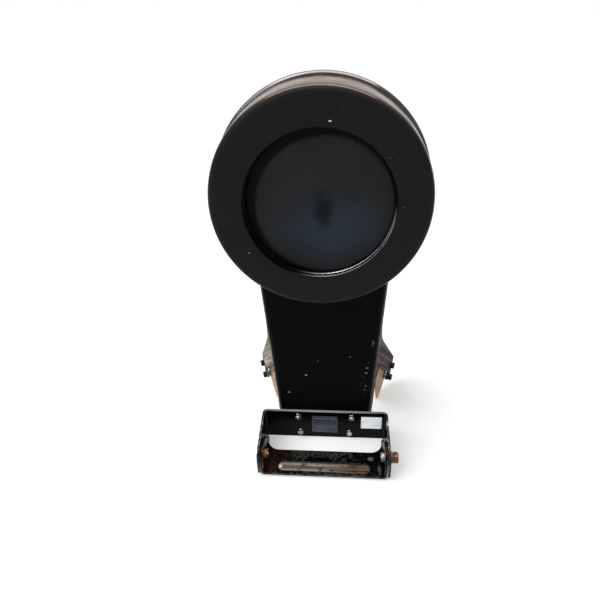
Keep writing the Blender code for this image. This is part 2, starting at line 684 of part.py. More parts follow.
ear_side = [(EAR_BACK_REACH - OVERLAP, 0, 0), (PLATE_FRONT_REACH + OVERLAP, 0, 0),
            (PLATE_FRONT_REACH + OVERLAP, plate_top, 0),
            (PLATE_FRONT_REACH - SMALL_EDGE, plate_top + SMALL_EDGE, SMALL_EDGE),
            (PIVOT_REACH + EAR_RADIUS, ear_top, EAR_RADIUS), (PIVOT_REACH - EAR_RADIUS, ear_top, EAR_RADIUS),
            (EAR_BACK_REACH + 0.004, plate_top + EAR_FOOT, EAR_FOOT),
            (EAR_BACK_REACH - OVERLAP, plate_top + SMALL_EDGE, 0)]
boolean(pedal_plate, cutter(side_prism(ear_side, BRACKET_WIDTH)), "INTERSECT")

notch_half = ear_inner - 0.0005
notch = [(-notch_half, -PLATE_BACK_REACH, NOTCH_ROUND), (notch_half, -PLATE_BACK_REACH, NOTCH_ROUND),
         (notch_half, 0, 0), (-notch_half, 0, 0)]
notch_mesh = outline_mesh(rounded(notch, FINE_ARC), 3 * OVERLAP)
notch_mesh.transform(Matrix.Translation(at(0, 0, -OVERLAP)))
boolean(pedal_plate, cutter(notch_mesh))

bead = [(x_sign * BEAD_LENGTH / 2, y_sign * BEAD_WIDTH / 2, BEAD_WIDTH / 2)
        for x_sign, y_sign in ((-1, -1), (1, -1), (1, 1), (-1, 1))]
bead_mesh = outline_mesh(rounded(bead, FINE_ARC), OVERLAP)
bead_mesh.transform(Matrix.Translation(at(0, BEAD_REACH, plate_top - BEAD_DEPTH)))
boolean(pedal_plate, cutter(bead_mesh))

pivot = at(0, PIVOT_REACH, PIVOT_HEIGHT)
pivot_walls = ((pedal_bracket, half_bracket - BRACKET_SHEET / 2), (pedal_plate, ear_outer - PLATE_SHEET / 2))
for part, place in pivot_walls:
    for sign in SIDES.values():
        middle = pivot + Vector((sign * place, 0, 0))
        drill(part, PIVOT_RADIUS + HOLE_CLEARANCE, (1, 0, 0), middle, 2.5 * BRACKET_SHEET)
joint_empty("pedal_plate_pivot", pivot, pedal_plate)

pivot_grip = half_bracket + GAP - ear_inner + PIVOT_HEAD + 0.001
for side in SIDES:
    seat = pivot + Vector((half_bracket + GAP, 0, 0))
    if side == "left":
        hex_bolt("pivot_bolt_left", ZINC, (1, 0, 0), seat, pivot_grip, side, head=PIVOT_HEAD,
                 radius=PIVOT_RADIUS, across=PIVOT_HEX)
    else:
        bolt_profile = [(0, CAP_LENGTH), (CAP_RADIUS - 0.002, CAP_LENGTH), (CAP_RADIUS, CAP_LENGTH - 0.002),
                        (CAP_RADIUS, 0), (PIVOT_RADIUS, 0), (PIVOT_RADIUS, -pivot_grip), (0, -pivot_grip)]
        turned("pivot_bolt_right", bolt_profile, BROWN_CAP, along((1, 0, 0), seat), steps=FINE)
    washer_seat = pivot + Vector((half_bracket - BRACKET_SHEET - GAP, 0, 0))
    ring(f"pivot_washer_{side}", NYLON, (-1, 0, 0), washer_seat, PIVOT_RADIUS + HOLE_CLEARANCE,
         2 * PIVOT_RADIUS, WASHER, side)
    nut_seat = pivot + Vector((ear_inner - GAP, 0, 0))
    hex_nut(f"pivot_nut_{side}", ZINC, (-1, 0, 0), nut_seat, side, height=PIVOT_HEAD, radius=PIVOT_RADIUS,
            across=PIVOT_HEX)

# ---------------------------------------------------------------- spurs and feet
spur_out = -SHEET - SPACER_LENGTH - 2 * GAP
tab_middle = ARM_DEPTH - ARM_TAB / 2
spur_bolts = {"upper": (tab_middle, SPUR_BOLT_TOP), "lower": (tab_middle - SPUR_BOLT_RAKE, SPUR_BOLT_BOTTOM)}
spur_back = ARM_DEPTH - 0.004
spur_corners = [(SPUR_TOE_FRONT, 0, 0.002), (SPUR_TOE_BACK, 0, 0.003),
                (spur_back - TAB_RAKE, SPUR_HEEL, 0.004), (spur_back, SPUR_TOP, 0.005),
                (ARM_DEPTH - ARM_TAB, SPUR_TOP + 0.004, 0.010), (SPUR_FRONT, SPUR_FRONT_HEIGHT, 0.004)]
shank_hole = SPUR_BOLT_RADIUS + HOLE_CLEARANCE
slot_half = SPUR_TRAVEL + shank_hole + HOLE_CLEARANCE
spur_grip = -spur_out + SPUR_SHEET + 2 * GAP + SPUR_BOLT_HEAD

for side, sign in SIDES.items():
    mirror = mirror_for(side)
    outward = Vector((sign * SIDE_NORMAL.x, SIDE_NORMAL.y, SIDE_NORMAL.z))
    plate = outline_mesh(rounded(spur_corners), SPUR_SHEET)
    frame = mirror @ side_frame(spur_out - SPUR_SHEET)
    spur = add_object(f"spur_{side}", place_mesh(plate, frame), YELLOW_ZINC)
    for level, (depth, height) in spur_bolts.items():
        drill(tower, shank_hole, outward, mirror @ side_point(depth, height, -SHEET / 2), 2.4 * SHEET)
        slot = [(depth + x_sign * shank_hole, height + z_sign * slot_half, shank_hole)
                for x_sign, z_sign in ((-1, -1), (1, -1), (1, 1), (-1, 1))]
        slot_mesh = outline_mesh(rounded(slot), 3 * SPUR_SHEET)
        boolean(spur, cutter(place_mesh(slot_mesh, mirror @ side_frame(spur_out - 2 * SPUR_SHEET))))
        hex_bolt(f"spur_bolt_{side}_{level}", BLACK_STEEL, SIDE_NORMAL, side_point(depth, height, GAP),
                 spur_grip, side, head=SPUR_BOLT_HEAD, radius=SPUR_BOLT_RADIUS, across=SPUR_BOLT_HEX)
        ring(f"spur_spacer_{side}_{level}", ZINC, -SIDE_NORMAL, side_point(depth, height, -SHEET - GAP),
             shank_hole, 2 * SPUR_BOLT_RADIUS, SPACER_LENGTH, side)
        hex_nut(f"spur_nut_{side}_{level}", ZINC, -SIDE_NORMAL,
                side_point(depth, height, spur_out - SPUR_SHEET - GAP), side, height=SPUR_BOLT_HEAD - 0.001,
                radius=SPUR_BOLT_RADIUS, across=SPUR_BOLT_HEX)
    joint_empty(f"spur_slide_{side}", mirror @ side_point(*spur_bolts["upper"], spur_out), spur)
    foot_size = (0.014, LOWER_LIP - 0.002, FOOT_THICKNESS)
    foot_x = sign * (half_width(TOWER_BOTTOM) + SIDE_FLARE * LOWER_LIP / 2 - 0.001)
    foot_centre = at(foot_x, -LOWER_LIP / 2, FOOT_THICKNESS / 2)
    foot = add_object(f"tower_foot_{side}", box_mesh(foot_size, foot_centre), RUBBER)
    soften(foot, 0.0008)

joint_empty("head_slide", at(0, head_back, PAD_HEIGHT), strike_head)

for piece in PARTS.objects:
    if piece.type == "MESH":
        smooth(piece)
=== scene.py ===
"""Kick-drum trigger pad on a folded steel tower: the visible pieces, their finishes, light and camera.

Metres, +Z up, the player sits towards -Y.  Each sub-assembly is a class that reads its places from the
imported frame, builds its meshes and dresses them.
"""
import logging
import math
from dataclasses import dataclass, field
from enum import Enum
from typing import Protocol

import bmesh
import bpy
from mathutils import Matrix, Vector


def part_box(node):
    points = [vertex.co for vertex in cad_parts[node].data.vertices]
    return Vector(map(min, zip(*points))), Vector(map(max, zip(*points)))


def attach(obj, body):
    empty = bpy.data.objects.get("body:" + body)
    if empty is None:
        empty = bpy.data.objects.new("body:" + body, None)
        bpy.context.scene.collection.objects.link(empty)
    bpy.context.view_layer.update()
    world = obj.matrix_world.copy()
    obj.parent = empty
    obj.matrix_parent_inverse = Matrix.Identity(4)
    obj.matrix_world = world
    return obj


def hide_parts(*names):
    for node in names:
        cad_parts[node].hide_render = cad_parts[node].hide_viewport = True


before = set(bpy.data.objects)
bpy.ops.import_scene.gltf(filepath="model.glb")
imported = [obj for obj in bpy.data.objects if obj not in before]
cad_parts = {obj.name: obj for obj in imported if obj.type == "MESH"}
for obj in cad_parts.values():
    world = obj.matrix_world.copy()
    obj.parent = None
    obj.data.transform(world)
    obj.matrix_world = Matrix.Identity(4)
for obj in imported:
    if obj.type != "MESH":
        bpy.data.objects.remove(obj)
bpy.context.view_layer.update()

LOG = logging.getLogger("kick_pad")
FRONT = Vector((0.0, -1.0, 0.0))
UP = Vector((0.0, 0.0, 1.0))
FLARE = 0.37
TAPER = 0.0556
MERGE = 0.00001

Colour = tuple[float, float, float]
Socket = bpy.types.NodeSocket
Mask = Socket | float
Tone = Socket | Colour


class Side(Enum):
    """Side of the tower, as the player sees it."""

    LEFT = -1
    RIGHT = 1

    @property
    def word(self) -> str:
        """Name used in piece names."""
        return self.name.lower()

    @property
    def outward(self) -> Vector:
        """Normal of the tower's flared side."""
        return Vector((self.value, -FLARE, -TAPER)).normalized()


# ---------------------------------------------------------------- node graphs
class Graph:
    """Builder of one material's nodes round its Principled shader."""

    def __init__(self, name: str, roughness: float, metallic: float, specular: float) -> None:
        """Start a material.

        Args:
            name: Material name.
            roughness: Roughness until a pattern is linked to it.
            metallic: Metallic value until a pattern is linked to it.
            specular: Specular level of the whole surface.
        """
        self.material = bpy.data.materials.new(name)
        self.material.use_nodes = True
        self.tree = self.material.node_tree
        self.shader = self.tree.nodes["Principled BSDF"]
        self.shader.inputs["Roughness"].default_value = roughness
        self.shader.inputs["Metallic"].default_value = metallic
        self.shader.inputs["Specular IOR Level"].default_value = specular
        self.place = self.tree.nodes.new("ShaderNodeTexCoord").outputs["Object"]

    def add(self, kind: str, links: dict, **settings: object) -> bpy.types.Node:
        """Add a node.

        Args:
            kind: Node type without the ShaderNode prefix.
            links: Input name or number to a socket or a value.
            settings: Properties of the node.

        Returns:
            The new node.
        """
        made = self.tree.nodes.new("ShaderNode" + kind)
        for key, value in settings.items():
            setattr(made, key, value)
        for key, value in links.items():
            if isinstance(value, Socket):
                self.tree.links.new(value, made.inputs[key])
            else:
                made.inputs[key].default_value = value
        return made

    def stretched(self, scale: Colour, turn: Colour = (0, 0, 0), centre: Colour = (0, 0, 0)) -> Socket:
        """Object coordinates about a centre, turned and stretched.

        Args:
            scale: Factor along each axis.
            turn: Angles about the axes, in radians.
            centre: Point that becomes the zero point.

        Returns:
            The coordinates.
        """
        moved = self.add("VectorMath", {0: self.place, 1: centre}, operation="SUBTRACT")
        links = {"Vector": moved.outputs[0], "Rotation": turn, "Scale": tuple(1.0 / share for share in scale)}
        return self.add("Mapping", links, vector_type="TEXTURE").outputs[0]

    def noise(self, scale: float, detail: float = 4, rough: float = 0.5, vector: Socket | None = None,
              warp: float = 0) -> Socket:
        """Fractal noise from 0 to 1."""
        links = {"Vector": vector or self.place, "Scale": scale, "Detail": detail, "Roughness": rough,
                 "Distortion": warp}
        return self.add("TexNoise", links).outputs[0]

    def cells(self, scale: float, vector: Socket | None = None) -> Socket:
        """Distance to the middle of the nearest random cell."""
        return self.add("TexVoronoi", {"Vector": vector or self.place, "Scale": scale}).outputs["Distance"]

    def band(self, value: Mask, low: float, high: float, to_low: float = 0.0, to_high: float = 1.0) -> Socket:
        """Smooth step of a value between two limits, mapped onto a range."""
        links = {"Value": value, "From Min": low, "From Max": high, "To Min": to_low, "To Max": to_high}
        return self.add("MapRange", links, interpolation_type="SMOOTHSTEP").outputs[0]

    def sum(self, first: Mask, second: Mask, operation: str = "ADD") -> Socket:
        """Sum, product or other two-value operation."""
        return self.add("Math", {0: first, 1: second}, operation=operation, use_clamp=True).outputs[0]

    def both(self, *values: Mask) -> Mask:
        """Product of masks."""
        total = values[0]
        for value in values[1:]:
            total = self.sum(total, value, "MULTIPLY")
        return total

    def either(self, *values: Mask | None) -> Mask:
        """Greatest of the masks that are there."""
        total = None
        for value in values:
            if value is not None:
                total = value if total is None else self.sum(total, value, "MAXIMUM")
        return total

    def blend(self, amount: Mask, first: Tone, second: Tone) -> Socket:
        """Mix two colours.

        Args:
            amount: Share of the second colour.
            first: Colour where the amount is zero.
            second: Colour where the amount is one.

        Returns:
            The mixed colour.
        """
        made = self.tree.nodes.new("ShaderNodeMix")
        made.data_type = "RGBA"
        factor, first_input, second_input = made.inputs[0], made.inputs[6], made.inputs[7]
        for entry, value in ((factor, amount), (first_input, first), (second_input, second)):
            if isinstance(value, Socket):
                self.tree.links.new(value, entry)
            elif isinstance(value, tuple):
                entry.default_value = (*value, 1.0)
            else:
                entry.default_value = value
        return made.outputs[2]

    def axis(self, letter: str) -> Socket:
        """One object coordinate in metres."""
        return self.add("SeparateXYZ", {0: self.place}).outputs[letter]

    def spot(self, centre: Vector, radius: float, edge: float = 0.4, squash: Colour = (1, 1, 1),
             ragged: float = 0.0) -> Socket:
        """Mask that is one within a radius of a point and fades out past it.

        Args:
            centre: Middle of the spot.
            radius: Its size.
            edge: Share of the radius over which it fades.
            squash: Stretch of the coordinates, so that the spot can be an oval.
            ragged: How much noise eats into its edge.

        Returns:
            The mask.
        """
        local = self.stretched(squash, centre=tuple(centre))
        far = self.add("VectorMath", {0: local}, operation="LENGTH").outputs["Value"]
        if ragged:
            rough = self.band(self.noise(1.6 / radius, 5, 0.6), 0.3, 0.7, -ragged * radius, ragged * radius)
            far = self.add("Math", {0: far, 1: rough}, operation="ADD").outputs[0]
        return self.band(far, radius * (1 - edge), radius * (1 + edge), 1.0, 0.0)

    def edges(self, width: float, start: float = 0.02, full: float = 0.12) -> Socket:
        """Mask of the convex and concave edges.

        Args:
            width: Reach from the edge.
            start: Bend of the normal where the mask begins.
            full: Bend where the mask is one.

        Returns:
            The mask.
        """
        soft = self.add("Bevel", {"Radius": width}, samples=6).outputs[0]
        flat = self.add("NewGeometry", {}).outputs["Normal"]
        agree = self.add("VectorMath", {0: soft, 1: flat}, operation="DOT_PRODUCT").outputs["Value"]
        return self.band(agree, 1 - full, 1 - start, 1.0, 0.0)

    def bump(self, height: Mask, strength: float, depth: float, under: Socket | None = None) -> Socket:
        """Surface relief from a height pattern.

        Args:
            height: Pattern from 0 to 1.
            strength: Share of the effect.
            depth: Real depth of the relief in metres.
            under: Another relief that this one lies on.

        Returns:
            The normal.
        """
        links = {"Height": height, "Strength": strength, "Distance": depth}
        if under:
            links["Normal"] = under
        return self.add("Bump", links).outputs[0]

    def finish(self, colour: Socket | None = None, roughness: Socket | None = None,
               metallic: Mask | None = None, normal: Socket | None = None) -> bpy.types.Material:
        """Link the patterns to the shader.

        Args:
            colour: Base colour.
            roughness: Roughness.
            metallic: Metallic share.
            normal: Relief.

        Returns:
            The material.
        """
        pairs = (("Base Color", colour), ("Roughness", roughness), ("Metallic", metallic), ("Normal", normal))
        for key, value in pairs:
            if value is not None:
                self.tree.links.new(value, self.shader.inputs[key])
        return self.material


# ---------------------------------------------------------------- finishes
class Finish(Protocol):
    """Anything that makes a material."""

    def make(self) -> bpy.types.Material:
        """Build the material."""


@dataclass(frozen=True)
class PaintedSteel:
    """Black paint on sheet steel, with scratches, chipped edges and places worn to other colours.

    A scuff is (centre, radius, brightness), a smudge or a rust patch (centre, radius), a line
    (centre, length, squash, brightness), which is a painted highlight on the bracket and a painted
    reflection on the plate, and a bare patch (centre, radius, squash).  The lay is the turn of the grinding
    streaks on the worn arms, which are painted lit on the left and in shade on the right.
    """

    name: str
    paint: Colour = (0.0016, 0.0016, 0.0017)
    gloss: float = 0.34
    specular: float = 0.06
    edge_metal: Colour = (0.20, 0.18, 0.16)
    edge_width: float = 0.0012
    edge_wear: float = 0.5
    scratches: float = 0.5
    scuffs: tuple = ()
    lines: tuple = ()
    smudges: tuple = ()
    arm_wear: bool = False
    rust: tuple = ()
    bare: tuple = ()
    lay: Colour = (-0.76, 0.0, 0.0)

    def make(self) -> bpy.types.Material:
        """Build the material."""
        g = Graph(self.name, self.gloss, 0.0, self.specular)
        cloudy = g.noise(26, 5, 0.6)
        colour = g.blend(g.band(cloudy, 0.35, 0.75), self.paint, tuple(1.7 * c for c in self.paint))
        rough = g.band(cloudy, 0.3, 0.7, self.gloss - 0.06, self.gloss + 0.12)
        fine = self._scratch_lines(g)
        colour = g.blend(g.both(fine, self.scratches), colour, (0.05, 0.05, 0.052))
        for centre, radius in self.smudges:
            haze = g.both(g.spot(centre, radius, 0.9, (1.7, 1, 0.8), 0.9),
                          g.band(g.noise(170, 4, 0.7, warp=1.5), 0.5, 0.7))
            colour = g.blend(g.both(haze, 0.45), colour, (0.030, 0.030, 0.032))
        for centre, radius, brightness in self.scuffs:
            chip = g.spot(centre, 0.62 * radius, 0.35, (0.6, 1, 1.3), 0.7)
            colour = g.blend(chip, colour, (brightness, brightness, 0.97 * brightness))
        # Lines: a mark on the tower, painted highlights on the bracket and painted reflections on the plate.
        for centre, length, squash, brightness in self.lines:
            stroke = g.spot(centre, length, 0.5, squash, 0.5)
            colour = g.blend(stroke, colour, (brightness, 0.95 * brightness, 0.9 * brightness))
        if self.arm_wear:
            colour, rough = self._worn_arms(g, colour, rough)
        for centre, radius in self.rust:
            patch = g.both(g.spot(centre, radius, 0.7, ragged=0.9), g.band(g.noise(120, 5, 0.7), 0.38, 0.6))
            tone = g.blend(g.noise(240, 3), (0.075, 0.026, 0.010), (0.028, 0.014, 0.009))
            colour = g.blend(patch, colour, tone)
            rough = g.either(rough, g.both(patch, 0.8))
        metal = None
        for centre, radius, squash in self.bare:
            patch = g.both(g.spot(centre, radius, 0.75, squash, 0.9),
                           g.band(g.noise(95, 6, 0.75, warp=0.6), 0.40, 0.52))
            tone = g.blend(g.band(g.noise(300, 3), 0.35, 0.65), (0.055, 0.053, 0.050), (0.17, 0.165, 0.155))
            colour = g.blend(g.both(patch, 0.85), colour, tone)
            metal = g.either(metal, patch)
        chipped = g.both(g.edges(self.edge_width),
                         g.band(g.noise(150, 5, 0.7), 0.62 - 0.3 * self.edge_wear, 0.72))
        colour = g.blend(chipped, colour, self.edge_metal)
        metal = g.either(chipped, metal)
        skin = g.bump(g.noise(900, 2), 0.25, 0.0001)
        relief = g.bump(fine, 0.3, 0.0001, skin)
        return g.finish(colour, rough, g.both(metal, 0.75), relief)

    def _scratch_lines(self, g: Graph) -> Socket:
        """Thin straight scratches in three directions.

        Args:
            g: Graph of the material.

        Returns:
            The mask of the scratches.
        """
        total = None
        sets = (((0.2, 0.9, 0.1), 60, 0.76), ((0.1, -0.6, 0.3), 45, 0.765), ((0, 2.2, 0), 70, 0.77))
        for turn, scale, cut in sets:
            line = g.noise(1.0, 2, 0.5, g.stretched((scale * 0.5, scale * 9, scale * 9), turn))
            mask = g.both(g.band(line, cut - 0.02, cut), g.band(g.noise(0.4 * scale, 2), 0.5, 0.58))
            total = g.either(total, mask)
        return total

    def _worn_arms(self, g: Graph, colour: Socket, rough: Socket) -> tuple[Socket, Socket]:
        """Streaked metal on the flared arms behind the face, in painted light and shade.

        Args:
            g: Graph of the material.
            colour: Colour so far.
            rough: Roughness so far.

        Returns:
            The colour and the roughness.
        """
        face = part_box("tower")[0].y
        behind = g.band(g.axis("Y"), face + 0.006, face + 0.012)
        low = g.band(g.axis("Z"), 0.150, 0.215, 1.0, 0.0)
        streak = g.noise(1.0, 3, 0.6, g.stretched((7, 7, 380), self.lay))
        broad = g.noise(1.0, 2, 0.5, g.stretched((5, 5, 110), self.lay))
        # Painted light and shade: left of the middle the streaks take a lit copy, right of it a shaded copy.
        right = g.band(g.axis("X"), -0.02, 0.02)
        # Shaded copies of the streaks for the right arm, lit copies with painted floor reflection for the
        # left.
        dull = g.blend(g.band(streak, 0.42, 0.58), (0.009, 0.006, 0.005), (0.095, 0.066, 0.054))
        pale = g.blend(g.band(streak, 0.40, 0.58), (0.050, 0.044, 0.033), (0.27, 0.25, 0.195))
        shade = g.blend(g.band(broad, 0.45, 0.62), dull, (0.020, 0.013, 0.010))
        light = g.blend(g.band(broad, 0.50, 0.60), pale, (0.44, 0.41, 0.35))
        tone = g.blend(right, light, shade)
        mask = g.both(behind, low, g.band(g.noise(30, 4), 0.2, 0.4))
        # Brown streaks over the upper part of the arms behind the face.
        upper_streaks = g.both(behind, g.band(low, 0.0, 1.0, 1.0, 0.0), g.band(streak, 0.45, 0.62))
        colour = g.blend(g.both(upper_streaks, 0.7), colour, (0.07, 0.042, 0.036))
        colour = g.blend(mask, colour, tone)
        outline = g.both(g.edges(0.0022, 0.02, 0.08), behind)
        colour = g.blend(g.both(outline, 0.8), colour, (0.012, 0.008, 0.006))
        return colour, g.either(rough, g.both(mask, 0.6))


@dataclass(frozen=True)
class Rubber:
    """Moulded rubber with grain, dust and, for the head, a wear mark, painted reflection and painted shadow.

    A wear mark is (centre, radius, squash), a painted reflection (centre, radius, squash, colour), a mote
    (centre, radius, brightness) and a border (centre, radius) past which the rubber is darkened with
    painted shadow.
    """

    name: str
    base: Colour = (0.0055, 0.0055, 0.0057)
    light: Colour = (0.0075, 0.0075, 0.0079)
    roughness: float = 0.6
    specular: float = 0.10
    grain: float = 900.0
    grain_depth: float = 0.00012
    dust: float = 1.0
    wear: tuple = ()
    sheen: tuple = ()
    motes: tuple = ()
    border: tuple = ()

    def make(self) -> bpy.types.Material:
        """Build the material."""
        g = Graph(self.name, self.roughness, 0.0, self.specular)
        cloudy = g.noise(14, 4, 0.55)
        colour = g.blend(g.band(cloudy, 0.3, 0.7), self.base, self.light)
        # Painted shadow: past the border circle the colour is darkened, standing in for shade from the recess
        # wall.
        for centre, radius in self.border:
            recess_shadow = g.sum(1.0, g.spot(centre, radius, 0.035), "SUBTRACT")
            colour = g.blend(g.both(recess_shadow, 0.92), colour, tuple(0.1 * c for c in self.base))
        # Painted reflection: a soft coloured spot that stands in for sky reflected in the head.
        for centre, radius, squash, tone in self.sheen:
            colour = g.blend(g.both(g.spot(centre, radius, 0.95, squash), 0.8), colour, tone)
        rough = g.band(cloudy, 0.3, 0.7, self.roughness - 0.06, self.roughness + 0.05)
        for centre, radius, squash in self.wear:
            mark = g.spot(centre, radius, 0.85, squash, 0.25)
            colour = g.blend(g.both(mark, 0.9), colour, tuple(0.35 * c for c in self.base))
            rough = g.sum(rough, g.both(mark, 0.12), "SUBTRACT")
        specks = g.band(g.cells(70), 0.035, 0.055, 1.0, 0.0)
        rare = g.band(g.noise(31, 1), 0.56, 0.6)
        lint = g.band(g.noise(1.0, 3, 0.6, g.stretched((900, 120, 500), (0.3, 0.5, 0.9))), 0.745, 0.76)
        colour = g.blend(g.both(specks, rare, 0.5 * self.dust), colour, (0.17, 0.17, 0.165))
        colour = g.blend(g.both(lint, 0.3 * self.dust), colour, (0.07, 0.07, 0.07))
        for centre, radius, tone in self.motes:
            colour = g.blend(g.spot(centre, radius, 0.4, (0.6, 1, 1.4)), colour, (tone, tone, 0.95 * tone))
        worn = g.both(g.edges(0.0012, 0.03, 0.2), g.band(g.noise(140, 4), 0.4, 0.65))
        colour = g.blend(g.both(worn, 0.35), colour, (0.035, 0.035, 0.036))
        relief = g.bump(g.noise(self.grain, 2, 0.6), 0.4, self.grain_depth)
        return g.finish(colour, rough, None, g.bump(cloudy, 0.15, 0.0006, relief))


@dataclass(frozen=True)
class GlossBand:
    """Polished black rubber or plastic with faint rings from its mould and handling marks.

    A painted highlight is (centre, radius, colour), a bright metallic patch that stands in for light on
    the lining, kept by each crest (centre, reach) to a ring's inner edge.
    """

    name: str
    base: Colour = (0.012, 0.0105, 0.0095)
    warm: Colour = (0.03, 0.024, 0.019)
    roughness: float = 0.16
    specular: float = 0.5
    coat: float = 0.0
    tint: Colour = (1.0, 1.0, 1.0)
    polished: tuple = ()
    crest: tuple = ()

    def make(self) -> bpy.types.Material:
        """Build the material."""
        g = Graph(self.name, self.roughness, 0.0, self.specular)
        g.shader.inputs["Specular Tint"].default_value = (*self.tint, 1.0)
        g.shader.inputs["Coat Weight"].default_value = self.coat
        g.shader.inputs["Coat Tint"].default_value = (*self.tint, 1.0)
        g.shader.inputs["Coat Roughness"].default_value = 0.12
        rings = g.noise(1.0, 3, 0.6, g.stretched((4, 1300, 4)))
        haze = g.noise(45, 5, 0.65)
        colour = g.blend(g.band(haze, 0.35, 0.7), self.base, self.warm)
        marks = g.band(g.noise(1.0, 2, 0.5, g.stretched((14, 700, 14), (0.4, 0.1, 0.0))), 0.72, 0.74)
        colour = g.blend(g.both(marks, 0.4), colour, (0.10, 0.09, 0.08))
        rough = g.band(haze, 0.3, 0.7, self.roughness - 0.04, self.roughness + 0.10)
        metal = None
        # Painted highlight: a bright metallic patch, cut to the ring's inner edge by each crest.
        for centre, radius, tone in self.polished:
            highlight_arc = g.both(g.spot(centre, radius, 0.5), g.band(haze, 0.2, 0.45, 0.6, 1.0))
            for middle, reach in self.crest:
                flat = g.stretched((1, 0.0001, 1), centre=tuple(middle))
                away = g.add("VectorMath", {0: flat}, operation="LENGTH").outputs["Value"]
                highlight_arc = g.both(highlight_arc, g.band(away, reach + 0.0003, reach + 0.0007, 1.0, 0.0))
            colour = g.blend(highlight_arc, colour, tone)
            metal = g.either(metal, highlight_arc)
        relief = g.bump(rings, 0.25, 0.0001)
        return g.finish(colour, rough, metal, g.bump(haze, 0.1, 0.0004, relief))


@dataclass(frozen=True)
class Metal:
    """Plated or bare metal with tarnish, fine brushing and stains.

    Upper, where given, is painted light: the colour of faces that are turned upwards, as if lit from above.
    Edges take the edge colour, partly rubbed metal and partly painted highlight.
    """

    name: str
    base: Colour = (0.62, 0.61, 0.58)
    stain: Colour = (0.16, 0.13, 0.10)
    roughness: float = 0.22
    stained: float = 0.35
    brush: Colour = (300, 300, 900)
    metallic: float = 1.0
    edge: Colour = (0.8, 0.78, 0.74)
    specular: float = 0.5
    upper: tuple = ()

    def make(self) -> bpy.types.Material:
        """Build the material."""
        g = Graph(self.name, self.roughness, self.metallic, self.specular)
        brushed = g.noise(1.0, 3, 0.6, g.stretched(self.brush))
        patchy = g.noise(150, 6, 0.7)
        colour = g.blend(g.band(brushed, 0.3, 0.7), tuple(0.8 * c for c in self.base), self.base)
        colour = g.blend(g.band(patchy, 0.72 - self.stained / 2, 0.78 - self.stained / 4), colour, self.stain)
        # Edges: partly rubbed metal, partly painted highlight.
        edge_rub_and_glint = g.both(g.edges(0.0006, 0.03, 0.2), g.band(g.noise(220, 3), 0.35, 0.6))
        colour = g.blend(g.both(edge_rub_and_glint, 0.7), colour, self.edge)
        # Painted light: faces turned upwards take the upper colour, as if lit from above.
        if self.upper:
            facing = g.add("NewGeometry", {}).outputs["Normal"]
            rise = g.add("SeparateXYZ", {0: facing}).outputs["Z"]
            colour = g.blend(g.band(rise, 0.25, 0.5), colour, self.upper)
        rough = g.band(patchy, 0.35, 0.75, self.roughness, self.roughness + 0.35)
        relief = g.bump(brushed, 0.2, 0.00008)
        return g.finish(colour, rough, None, g.bump(patchy, 0.15, 0.0002, relief))


@dataclass(frozen=True)
class Plastic:
    """Moulded plastic or foam with grain, dirt in patches and paler edges."""

    name: str
    base: Colour = (0.012, 0.012, 0.012)
    light: Colour = (0.020, 0.020, 0.020)
    roughness: float = 0.45
    grain: float = 700.0
    depth: float = 0.0002
    specular: float = 0.3

    def make(self) -> bpy.types.Material:
        """Build the material."""
        g = Graph(self.name, self.roughness, 0.0, self.specular)
        patchy = g.noise(60, 5, 0.6)
        grain = g.noise(self.grain, 2, 0.6)
        colour = g.blend(g.band(patchy, 0.3, 0.7), self.base, self.light)
        colour = g.blend(g.both(g.band(grain, 0.6, 0.75), 0.3), colour, tuple(0.6 * c for c in self.base))
        pale = tuple(min(1.0, 2.2 * c) for c in self.light)
        colour = g.blend(g.both(g.edges(0.0008), g.band(patchy, 0.4, 0.6), 0.5), colour, pale)
        rough = g.band(patchy, 0.3, 0.7, self.roughness - 0.08, self.roughness + 0.1)
        return g.finish(colour, rough, None, g.bump(grain, 0.4, self.depth))


@dataclass(frozen=True)
class PrintedPlate:
    """Plain label with a thin printed border and ruled lines, rubbed at its edges.

    A ruled line is (start, end, height, thickness), the first three as shares of the plate.
    """

    name: str
    node: str
    ground: Colour
    ink: Colour
    rules: tuple
    roughness: float = 0.35
    border: float = 0.0012
    glow: float = 0.0

    def make(self) -> bpy.types.Material:
        """Build the material."""
        g = Graph(self.name, self.roughness, 0.0, 0.35)
        # Painted light: the label can glow a little, as if lit from the front.
        g.shader.inputs["Emission Color"].default_value = (0.85, 0.92, 1.0, 1.0)
        g.shader.inputs["Emission Strength"].default_value = self.glow
        low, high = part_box(self.node)
        x, z = g.axis("X"), g.axis("Z")
        fade = 0.00015
        cloudy = g.noise(90, 5, 0.6)
        ground = g.blend(g.band(cloudy, 0.35, 0.7), self.ground, tuple(0.72 * c for c in self.ground))
        printed = None
        for start, end, height, thick in self.rules:
            left, right = low.x + start * (high.x - low.x), low.x + end * (high.x - low.x)
            middle = low.z + height * (high.z - low.z)
            across = g.both(g.band(x, left - fade, left + fade),
                            g.band(x, right - fade, right + fade, 1.0, 0.0))
            up = g.both(g.band(z, middle - thick / 2 - fade, middle - thick / 2 + fade),
                        g.band(z, middle + thick / 2 - fade, middle + thick / 2 + fade, 1.0, 0.0))
            bar = g.both(across, up)
            printed = g.either(printed, bar)
        inside = g.both(g.band(x, low.x + self.border, low.x + self.border + fade),
                        g.band(x, high.x - self.border - fade, high.x - self.border, 1.0, 0.0),
                        g.band(z, low.z + self.border, low.z + self.border + fade),
                        g.band(z, high.z - self.border - fade, high.z - self.border, 1.0, 0.0))
        frame_line = g.sum(1.0, inside, "SUBTRACT")
        worn_ink = g.both(g.either(printed, g.both(frame_line, 0.35)),
                          g.band(g.noise(500, 4, 0.7), 0.25, 0.5))
        colour = g.blend(worn_ink, ground, self.ink)
        grime = g.both(frame_line, g.band(g.noise(180, 4), 0.45, 0.7))
        colour = g.blend(g.both(grime, 0.5), colour, tuple(0.4 * c for c in self.ground))
        relief = g.bump(g.noise(700, 2), 0.2, 0.00005)
        rough = g.band(cloudy, 0.3, 0.7, self.roughness - 0.08, self.roughness + 0.15)
        return g.finish(colour, rough, None, relief)


